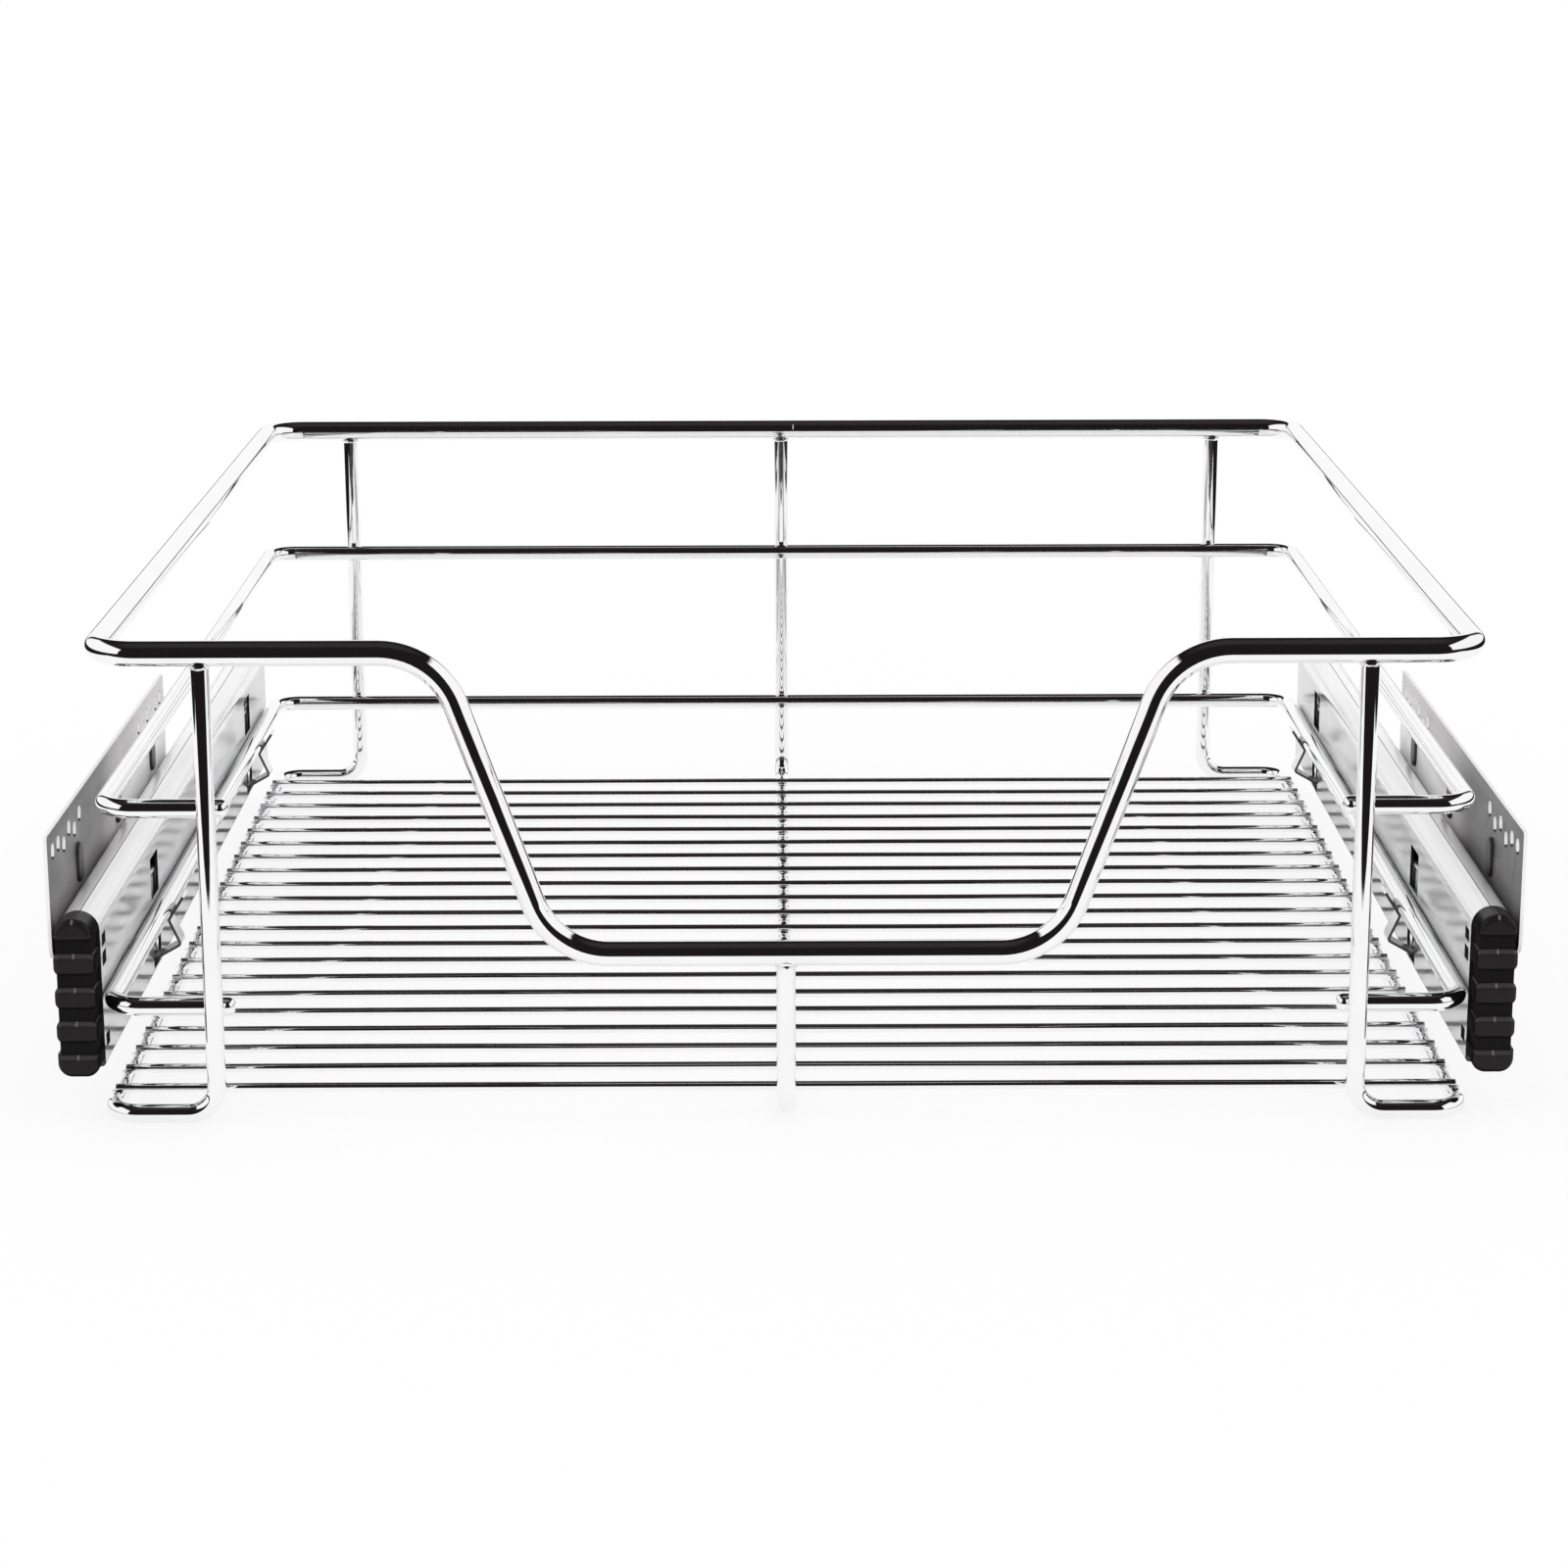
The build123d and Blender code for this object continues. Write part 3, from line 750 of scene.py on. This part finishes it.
def drawn_lines():
    """Shader group: fine lines drawn out along a sheet, as brushing and rolling leave them."""
    group = bpy.data.node_groups.new("drawn_lines", "ShaderNodeTree")
    group.interface.new_socket("Stretch", in_out="INPUT", socket_type="NodeSocketVector")
    group.interface.new_socket("Lines", in_out="OUTPUT", socket_type="NodeSocketFloat")
    given = group.nodes.new("NodeGroupInput").outputs
    where = add_node(group, "ShaderNodeTexCoord").outputs["Object"]
    drawn = add_node(group, "ShaderNodeMapping", {"Vector": where, "Scale": given["Stretch"]})
    lines = add_node(
        group, "ShaderNodeTexNoise", {"Vector": drawn.outputs[0], "Scale": 1.0, "Detail": 4.0}
    )
    group.links.new(lines.outputs["Fac"], group.nodes.new("NodeGroupOutput").inputs["Lines"])
    return group


def uneven_plating():
    """Shader group: a colour that changes along a direction, as painted light and shade.
    Its shares of the colour hold at and beyond Low and High."""
    lightest_zinc = (0.93, 0.93, 0.93)
    group = bpy.data.node_groups.new("uneven_plating", "ShaderNodeTree")
    for name, kind in (
        ("Colour", "Color"),
        ("Direction", "Vector"),
        ("Low", "Float"),
        ("High", "Float"),
        ("Low share", "Float"),
        ("High share", "Float"),
        ("Where", "Float"),
    ):
        group.interface.new_socket(name, in_out="INPUT", socket_type=f"NodeSocket{kind}")
    group.interface.new_socket("Colour", in_out="OUTPUT", socket_type="NodeSocketColor")
    given = group.nodes.new("NodeGroupInput").outputs
    where = add_node(group, "ShaderNodeTexCoord").outputs["Object"]
    limits = {
        "Value": vector_maths(group, "DOT_PRODUCT", where, given["Direction"]),
        "From Min": given["Low"],
        "From Max": given["High"],
        "To Min": given["Low share"],
        "To Max": given["High share"],
    }
    share = add_node(group, "ShaderNodeMapRange", limits, interpolation_type="SMOOTHSTEP")
    change = maths(group, "SUBTRACT", share.outputs["Result"], 1.0)
    share = maths(group, "MULTIPLY_ADD", change, given["Where"], 1.0)
    deepened = vector_maths(group, "SCALE", given["Colour"], Scale=share)
    below_white = vector_maths(group, "MINIMUM", deepened, lightest_zinc)
    group.links.new(below_white, group.nodes.new("NodeGroupOutput").inputs["Colour"])
    return group


brushing = drawn_lines()
# The group that paints light and shade into a finish's colour along a direction.
plating = uneven_plating()


def brushed_finish(
    name, colour, worn_colour, roughness, stretch, line_depth, anisotropy=0.0, metallic=1.0
):
    """Sheet metal brushed or rolled along its length, with slow swells in it."""
    material = metal_finish(
        name, colour, worn_colour, roughness, swell_scale=30, swell_height=0.00008,
        metallic=metallic,
    )
    lines = add_node(
        material.node_tree, "ShaderNodeGroup", {"Stretch": stretch}, node_tree=brushing
    )
    raise_surface(material, lines.outputs["Lines"], line_depth)
    shader_inputs(material)["Anisotropic"].default_value = anisotropy
    return material


def shade_along(material, direction, places, shares, where=1.0):
    """Change a finish's colour along a direction, from one share of it to another, as painted light
    and shade.
    """
    base = shader_inputs(material)["Base Color"]
    values = {
        "Colour": base.links[0].from_socket,
        "Direction": direction,
        "Low": places[0],
        "High": places[1],
        "Low share": shares[0],
        "High share": shares[1],
        "Where": where,
    }
    uneven = add_node(material.node_tree, "ShaderNodeGroup", values, node_tree=plating)
    material.node_tree.links.new(uneven.outputs["Colour"], base)


def tint_where(material, share, colour, **changed):
    """Give part of a surface a colour and other values of its own, by a share from 0 to 1."""
    tree = material.node_tree
    base = shader_inputs(material)["Base Color"]
    tree.links.new(mix_colours(tree, share, base.links[0].from_socket, (*colour, 1)), base)
    for name, value in changed.items():
        socket = shader_inputs(material)[name]
        was = socket.links[0].from_socket if socket.links else socket.default_value
        blend = add_node(tree, "ShaderNodeMix", {0: share, 2: was, 3: value}, data_type="FLOAT")
        tree.links.new(blend.outputs[0], socket)


def marked(material, mark):
    """How far a face carries a mark."""
    return add_node(material.node_tree, "ShaderNodeAttribute", attribute_name=mark).outputs["Fac"]


plate_inner_x = 0.2308
hole_ends_z = (0.0790, 0.0885)
tolerance = 0.0001
# Limits of how far a face's normal lies along an axis.
edge_on = 0.5
end_on = 0.75
far_flank = 0.3


def faces_in(normal, middle):
    """The plate's side towards the basket."""
    return normal.x * middle.x < 0


def plate_wall(normal, middle):
    """The plate's outline and the walls of its holes, and not the flanks of its ribs."""
    return abs(normal.x) < edge_on and abs(middle.x) > plate_inner_x


def rib_front(normal, middle):
    """The near flank and the back of each rib, and not its far flank."""
    return abs(middle.x) < plate_inner_x - tolerance and normal.y < far_flank


def hole_end(normal, middle):
    """The upper and lower ends of the screw holes' walls."""
    low, high = hole_ends_z
    return abs(normal.x) < edge_on and abs(normal.z) > end_on and low < middle.z < high


lengthways = (0, 1, 0)
upwards = (0, 0, 1)
# Near-white for a painted highlight on cut walls, and near-black for painted shade on rib flanks,
# hole ends, the covers' walls and the clips' tails.
painted_edge_highlight = (0.92, 0.92, 0.92)
painted_shade_black = (0.018, 0.016, 0.0165)
plate_edge = 0.00015
# Each plate has its own copy of the finish, and the right plate's front is painted darker than the
# left's, as painted shade.
for side, front_shade_share in (("left", 0.30), ("right", 0.19)):
    plate_zinc = brushed_finish(
        f"brushed_zinc_plate_{side}", colour=(0.86, 0.825, 0.835), worn_colour=(0.76, 0.73, 0.74),
        roughness=(0.30, 0.42), stretch=(900, 14, 900), line_depth=0.00002, anisotropy=0.5,
        metallic=0.25,
    )
    inside = marked(plate_zinc, "inner_face")
    outside = maths(plate_zinc.node_tree, "SUBTRACT", 1.0, inside)
    # On the inner face, painted shade darkens the front, and painted light brightens the rear and
    # the strip low down by the cover, where real shade falls. The outer face is darker towards the
    # bottom.
    for direction, places, shares, where in (
        (lengthways, (-0.125, -0.070), (front_shade_share, 1.0), inside),
        (lengthways, (-0.085, 0.020), (0.62, 1.0), inside),
        (upwards, (0.064, 0.076), (2.4, 1.0), inside),
        (upwards, (0.020, 0.095), (0.66, 0.80), outside),
    ):
        shade_along(plate_zinc, direction, places, shares, where)
    # Cut walls are painted near-white as a painted highlight; rib flanks and hole ends are painted
    # near-black as painted shade.
    for mark, colour in (
        ("sheared_wall", painted_edge_highlight),
        ("rib_front", painted_shade_black),
        ("hole_end", painted_shade_black),
    ):
        tint_where(plate_zinc, marked(plate_zinc, mark), colour, Metallic=0.0)
    ease_edges(
        f"{side}_cabinet_plate", f"{side}_cabinet_plate_eased", plate_zinc, "plate_steel",
        plate_edge,
        inner_face=faces_in, sheared_wall=plate_wall, rib_front=rib_front, hole_end=hole_end,
    )


# Plate rivets. Four flush rivets hold each fixed rail to its plate. Each is a headed steel pin, set
# cold, so its face is a shallow dish inside a fine round line.
def rivet_tree():
    """A pin across the cabinet at each point, set cold, with a shallow dish in both its faces."""
    tree, given, close = new_tree(
        "set_rivets",
        {"Radius": "Float", "Length": "Float", "Sides": "Int", "Rings": "Int", "Dish": "Float"},
    )
    across_pin = (1, 1, 0)
    dish_edge = (0.50, 0.72)
    rim_edge = (1.0, 0.85)
    pin = add_node(
        tree,
        "GeometryNodeMeshCylinder",
        {
            "Vertices": given["Sides"],
            "Fill Segments": given["Rings"],
            "Radius": given["Radius"],
            "Depth": given["Length"],
        },
    )
    here = add_node(tree, "GeometryNodeInputPosition").outputs[0]
    reach = vector_maths(tree, "LENGTH", vector_maths(tree, "MULTIPLY", here, across_pin))
    share = maths(tree, "DIVIDE", reach, given["Radius"])
    ridge = maths(
        tree, "MULTIPLY", soft_step(tree, share, *dish_edge), soft_step(tree, share, *rim_edge)
    )
    sink = maths(tree, "MULTIPLY", maths(tree, "SUBTRACT", ridge, 1.0), given["Dish"])
    height = add_node(tree, "ShaderNodeSeparateXYZ", {0: here}).outputs[2]
    sink = maths(tree, "MULTIPLY", sink, maths(tree, "SIGN", height))
    inward = add_node(tree, "ShaderNodeCombineXYZ", {2: sink})
    pin = shift(tree, pin.outputs["Mesh"], inward.outputs[0])
    close(place_copies(tree, given["Geometry"], pin, Rotation=(0, math.pi / 2, 0)))
    return tree


rivet_zinc = metal_finish(
    "rivet_zinc", colour=(0.66, 0.66, 0.67), worn_colour=(0.52, 0.52, 0.53),
    roughness=(0.22, 0.38), swell_scale=400, swell_height=0.00003, grain_scale=2500,
    grain_height=0.000006,
)
rivets = rivet_tree()
rivet_radius = 2.0
rivet_sides = 32
rivet_rings = 12
slide_z = 38.0


def set_rivets(name, sign, rows, ends, dish, body, finish):
    """Set a row of rivets, given in millimetres, through two sheets."""
    inner, outer = ends
    middle = sign * (inner + outer) / 2
    start = start_points([(middle * MM, y * MM, slide_z * MM) for y in rows])
    make_piece(
        f"{name}_set", start, rivets, body, "rivet_steel", (name,),
        radius=rivet_radius * MM, length=(outer - inner) * MM, sides=rivet_sides,
        rings=rivet_rings, dish=dish * MM, finish=finish,
    )


plate_rivet_y = (-178.0, -124.0, -62.0, -10.0)
plate_rivet_ends = (229.6, 232.0)
plate_dish = 0.12
for sign, side in ((-1, "left"), (1, "right")):
    set_rivets(
        f"{side}_plate_rivets", sign, plate_rivet_y, plate_rivet_ends, plate_dish, "cabinet_side",
        rivet_zinc,
    )


# Rails. Fixed, middle and inner rails are cold-rolled steel channels, zinc plated after rolling,
# with the long faint draw lines that the rolls leave.
rail_zinc = brushed_finish(
    "rolled_zinc_rail", colour=(0.70, 0.71, 0.72), worn_colour=(0.60, 0.61, 0.63),
    roughness=(0.24, 0.34), stretch=(1400, 10, 1400), line_depth=0.000012, anisotropy=0.3,
)
rail_edge = 0.0001
for side in ("left", "right"):
    for rail in ("fixed_rail", "middle_rail", "inner_rail"):
        ease_edges(f"{side}_{rail}", f"{side}_{rail}_eased", rail_zinc, "rail_steel", rail_edge)


# Ball cages and balls. Each cage is thin oiled strip, pierced with a round window for every ball,
# and rolls along between two rails. The balls are ground and polished bearing steel.
def balls_tree():
    """A polished ball at each point."""
    tree, given, close = new_tree("bearing_balls", {"Radius": "Float", "Fineness": "Int"})
    ball = add_node(
        tree,
        "GeometryNodeMeshIcoSphere",
        {"Radius": given["Radius"], "Subdivisions": given["Fineness"]},
    )
    close(place_copies(tree, given["Geometry"], ball.outputs[0]))
    return tree


def coat(name, finish):
    """Give a piece of the CAD model its finish, and leave its shape."""
    mesh = frame["nodes"][name].data
    mesh.materials.clear()
    mesh.materials.append(finish)


oiled_strip = brushed_finish(
    "oiled_cage_strip", colour=(0.62, 0.61, 0.58), worn_colour=(0.48, 0.46, 0.42),
    roughness=(0.20, 0.40), stretch=(700, 20, 700), line_depth=0.00001,
)
ball_steel = metal_finish(
    "ball_steel", colour=(0.82, 0.82, 0.84), worn_colour=(0.76, 0.76, 0.78),
    roughness=(0.04, 0.10), swell_scale=300, swell_height=0.000004,
)
ball_tree = balls_tree()
ball_fineness = 4
balls_per_row = 8
ball_pitch = 22.0
first_ball_y = -87.0
for sign, side in ((-1, "left"), (1, "right")):
    for which, x, rise, radius in (("outer", 225.3, 17.75, 2.0), ("inner", 222.75, 12.9, 1.75)):
        places = [
            (sign * x * MM, (first_ball_y + i * ball_pitch) * MM, (slide_z + row * rise) * MM)
            for row in (-1, 1)
            for i in range(balls_per_row)
        ]
        make_piece(
            f"{side}_{which}_balls_polished", start_points(places), ball_tree,
            f"{side}_{which}_cage_body", "ball_steel", (f"{side}_{which}_balls",),
            radius=radius * MM, fineness=ball_fineness, finish=ball_steel,
        )
        coat(f"{side}_{which}_ball_cage", oiled_strip)


# Covers. A bright zinc-plated sheet skin is riveted over each moving rail. Its face carries the
# windows for the clips, its foot is turned under, and its top is rolled over to a creased edge.
# Rolling leaves the face slightly rippled. The roll is painted paler than the face, as painted
# light from above. Flush rivets are dressed with it.
cover_rivet_y = (-157.0, -37.0, 83.0, 173.0)
cover_rivet_ends = (217.1, 219.1)
cover_dish = 0.02
cover_edge = 0.0001
cover_face_x = 0.2182
cover_walls_z = (0.0158, 0.0575)
wall_on = 0.7
rivet_reach_y = 1.5
rivet_reach_z = 1.2
ripple_height = 0.00009
ripple_scale = (5, 34, 60)
ripple_top = 0.050
ripple_fade = 0.010


def ripple_cover(shape):
    """Cut the cover's mesh into a fine grid and ripple it by a few hundredths of a millimetre."""
    cut_gap = 0.0000005
    for normal, first, step, count in (
        (lengthways, -0.2, 0.005, 80),
        (upwards, 0.0185, 0.004, 10),
    ):
        for i in range(count):
            bmesh.ops.bisect_plane(
                shape,
                geom=shape.verts[:] + shape.edges[:] + shape.faces[:],
                dist=cut_gap,
                plane_co=Vector(normal) * (first + i * step),
                plane_no=normal,
            )
    for vert in shape.verts:
        side = math.copysign(1, vert.co.x)
        spot = Vector([c * s for c, s in zip((side, vert.co.y, vert.co.z), ripple_scale)])
        fade = 1 - min(1, max(0, (vert.co.z - ripple_top) / ripple_fade))
        vert.co.x += ripple_height * fade * noise.noise(spot)


def cover_wall(normal, middle):
    """The cover's two ends, and the walls of its windows and slits, but not of its rivet holes."""
    low, high = cover_walls_z
    level = abs(normal.z) > wall_on and low < middle.z < high and abs(middle.x) < cover_face_x
    along = min(abs(middle.y / MM - y) for y in cover_rivet_y) / rivet_radius
    above = abs(middle.z / MM - slide_z) / rivet_radius
    at_rivet = along < rivet_reach_y and above < rivet_reach_z
    return not at_rivet and (abs(normal.y) > wall_on or level)


def height_share(material, none, full):
    """A smooth rise with height from 0 to 1."""
    tree = material.node_tree
    where = add_node(tree, "ShaderNodeTexCoord").outputs["Object"]
    height = add_node(tree, "ShaderNodeSeparateXYZ", {0: where}).outputs[2]
    return soft_step(tree, height, none, full)


def line_share(material, x, none, full):
    """1 on a thin line along the slide at a distance from the middle, and 0 beside it."""
    tree = material.node_tree
    where = add_node(tree, "ShaderNodeTexCoord").outputs["Object"]
    across = add_node(tree, "ShaderNodeSeparateXYZ", {0: where}).outputs[0]
    off = maths(tree, "ABSOLUTE", maths(tree, "SUBTRACT", maths(tree, "ABSOLUTE", across), x))
    return soft_step(tree, off, none, full)


cover_zinc = brushed_finish(
    "bright_zinc_cover", colour=(0.92, 0.92, 0.925), worn_colour=(0.84, 0.84, 0.85),
    roughness=(0.13, 0.22), stretch=(1100, 9, 1100), line_depth=0.000006, anisotropy=0.3,
)
# The face is painted darker below the roll and the roll's top paler, as painted light from above.
shade_along(cover_zinc, upwards, places=(0.0565, 0.0600), shares=(0.66, 1.0))
painted_roll_light = (0.97, 0.97, 0.97)
painted_roll_light_from = (0.0590, 0.0625)
tint_where(cover_zinc, height_share(cover_zinc, *painted_roll_light_from), painted_roll_light, Metallic=0.25)
# Two thin dark lines are painted on the roll: painted shade along the crease and a painted dark
# reflection along the roll's top.
roll_edge = (0.0625, 0.0630)
crease_x = 0.22842
roll_top_x = 0.2229
line_edge = (0.00024, 0.00012)
for line_x, grey in ((crease_x, (0.10, 0.10, 0.10)), (roll_top_x, (0.16, 0.16, 0.16))):
    line = line_share(cover_zinc, line_x, *line_edge)
    line = maths(cover_zinc.node_tree, "MULTIPLY", line, height_share(cover_zinc, *roll_edge))
    tint_where(cover_zinc, line, grey)
# The cover's ends and the walls of its windows and slits are painted near-black, as painted shade.
tint_where(cover_zinc, marked(cover_zinc, "sheared_wall"), painted_shade_black, Metallic=0.0)
for sign, side in ((-1, "left"), (1, "right")):
    ease_edges(
        f"{side}_slide_cover", f"{side}_slide_cover_rolled", cover_zinc, "cover_steel",
        cover_edge, ripple_cover, sheared_wall=cover_wall,
    )
    set_rivets(
        f"{side}_cover_rivets", sign, cover_rivet_y, cover_rivet_ends, cover_dish, "basket",
        cover_zinc,
    )


# Clips. Strips of plated spring steel stand behind the cover, come out through its lower windows,
# turn up to a kink below the lower ring and flare out under it as the lip that carries it.
clip_edge = 0.00012
behind_cover_x = 0.2172
side_on = 0.8
painted_edge_shade = (0.06, 0.058, 0.059)


def behind_cover(normal, middle):
    """The tail of a clip, which the cover hides but for its windows."""
    return abs(middle.x) > behind_cover_x


def strip_side(normal, middle):
    """The two sheared sides of a strip."""
    return abs(normal.y) > side_on


spring_steel = metal_finish(
    "plated_spring_steel", colour=(0.93, 0.93, 0.935), worn_colour=(0.86, 0.86, 0.87),
    roughness=(0.07, 0.14), swell_scale=160, swell_height=0.00003, grain_scale=1800,
    grain_height=0.000001, metallic=0.15,
)
# The strips' sheared sides are painted dark grey, as painted shade that outlines them.
tint_where(spring_steel, marked(spring_steel, "sheared_side"), painted_edge_shade)
# The tail behind the cover is painted near-black, as the painted shade of the pocket it sits in.
tint_where(spring_steel, marked(spring_steel, "tail"), painted_shade_black, Metallic=0.0)
for side in ("left", "right"):
    ease_edges(
        f"{side}_basket_clips", f"{side}_basket_clips_eased", spring_steel, "clip_steel",
        clip_edge, tail=behind_cover, sheared_side=strip_side,
    )


# End caps and bumpers. Injection-moulded black plastic: each cap is a stack of five knuckles that
# plugs the cover's front end, and each bumper is a soft block that the rails close against.
def moulded_finish(name, colour, worn_colour, roughness, grain_depth, seam_x=None):
    """Black plastic with a fine spark-eroded grain, worn shinier in patches. The mould's joint
    stands up as a fine ridge where there is one."""
    worn_from = (0.4, 0.8)
    seam_edge = (0.0004, 0.0001)
    seam_height = 6.0
    material, mark = worn_finish(
        name, colour, worn_colour, worn_from, roughness, "Swell", swell_scale=120,
        grain_scale=2600,
    )
    height = mark["Grain"]
    if seam_x:
        tree = material.node_tree
        ridge = maths(tree, "MULTIPLY", line_share(material, seam_x, *seam_edge), seam_height)
        height = maths(tree, "ADD", height, ridge)
    raise_surface(material, height, grain_depth)
    return material


cap_middle_x = 0.22375
cap_face_y = -0.21355
cap_back_y = -0.2020
cap_dome_z = 0.0575
cap_groove = 0.0014
# Colours of painted shade in the grooves and under the knuckles, and of a painted highlight on
# their tops.
cap_groove_shade = (0.0060, 0.0048, 0.0052)
cap_under_shade = (0.0035, 0.0030, 0.0032)
cap_highlight_colour = (0.052, 0.046, 0.048)
cap_joint_colour = (0.16, 0.15, 0.15)
# Soft edges, from none to full: the first four by the lean of the surface, the others in metres.
top_lean = (0.10, 0.55)
under_lean = (-0.15, -0.6)
groove_lean = (-0.3, -0.6)
flank_lean = (0.6, 0.9)
joint_edge = (0.0005, 0.0002)
face_edge = (cap_face_y + cap_groove, cap_face_y + 0.7 * cap_groove)
back_edge = (cap_back_y, cap_back_y + 0.0005)
dome_edge = (cap_dome_z, cap_dome_z - 0.001)


def paint_cap_light_and_shade(material):
    """Moulded knuckles: tops painted paler as a painted highlight; undersides, flanks, grooves and
    hidden lugs duller and painted darker as painted shade; and a witness of the mould's joint on
    each top."""
    tree = material.node_tree
    shape = add_node(tree, "ShaderNodeTexCoord").outputs
    turn, facing, tilt = add_node(tree, "ShaderNodeSeparateXYZ", {0: shape["Normal"]}).outputs
    _, along, up = add_node(tree, "ShaderNodeSeparateXYZ", {0: shape["Object"]}).outputs
    front = soft_step(tree, along, *face_edge)
    top = maths(tree, "MULTIPLY", soft_step(tree, tilt, *top_lean), front)
    joint = maths(tree, "MULTIPLY", line_share(material, cap_middle_x, *joint_edge), top)
    sunk = maths(tree, "SUBTRACT", 1.0, front)
    groove = maths(tree, "MULTIPLY", sunk, soft_step(tree, facing, *groove_lean))
    flank = soft_step(tree, maths(tree, "ABSOLUTE", turn), *flank_lean)
    under = maths(tree, "MAXIMUM", soft_step(tree, tilt, *under_lean), flank)
    under = maths(tree, "MAXIMUM", under, soft_step(tree, along, *back_edge))
    painted_highlight = maths(tree, "MULTIPLY", top, soft_step(tree, up, *dome_edge))
    # Grooves, undersides, flanks and hidden lugs are painted darker as painted shade, and tops
    # paler as a painted highlight.
    tint_where(material, groove, cap_groove_shade, Roughness=0.60)
    tint_where(material, under, cap_under_shade, Roughness=1.0)
    tint_where(material, painted_highlight, cap_highlight_colour)
    tint_where(material, joint, cap_joint_colour)


black_cap = moulded_finish(
    "black_cap", colour=(0.0130, 0.0108, 0.0116), worn_colour=(0.018, 0.015, 0.016),
    roughness=(0.26, 0.38), grain_depth=0.000012, seam_x=cap_middle_x,
)
shader_inputs(black_cap)["Specular IOR Level"].default_value = 0.14
paint_cap_light_and_shade(black_cap)
black_bumper = moulded_finish(
    "black_bumper", colour=(0.030, 0.029, 0.029), worn_colour=(0.045, 0.043, 0.043),
    roughness=(0.55, 0.70), grain_depth=0.00002,
)
for side in ("left", "right"):
    coat(f"{side}_end_cap", black_cap)
    coat(f"{side}_rear_bumper", black_bumper)
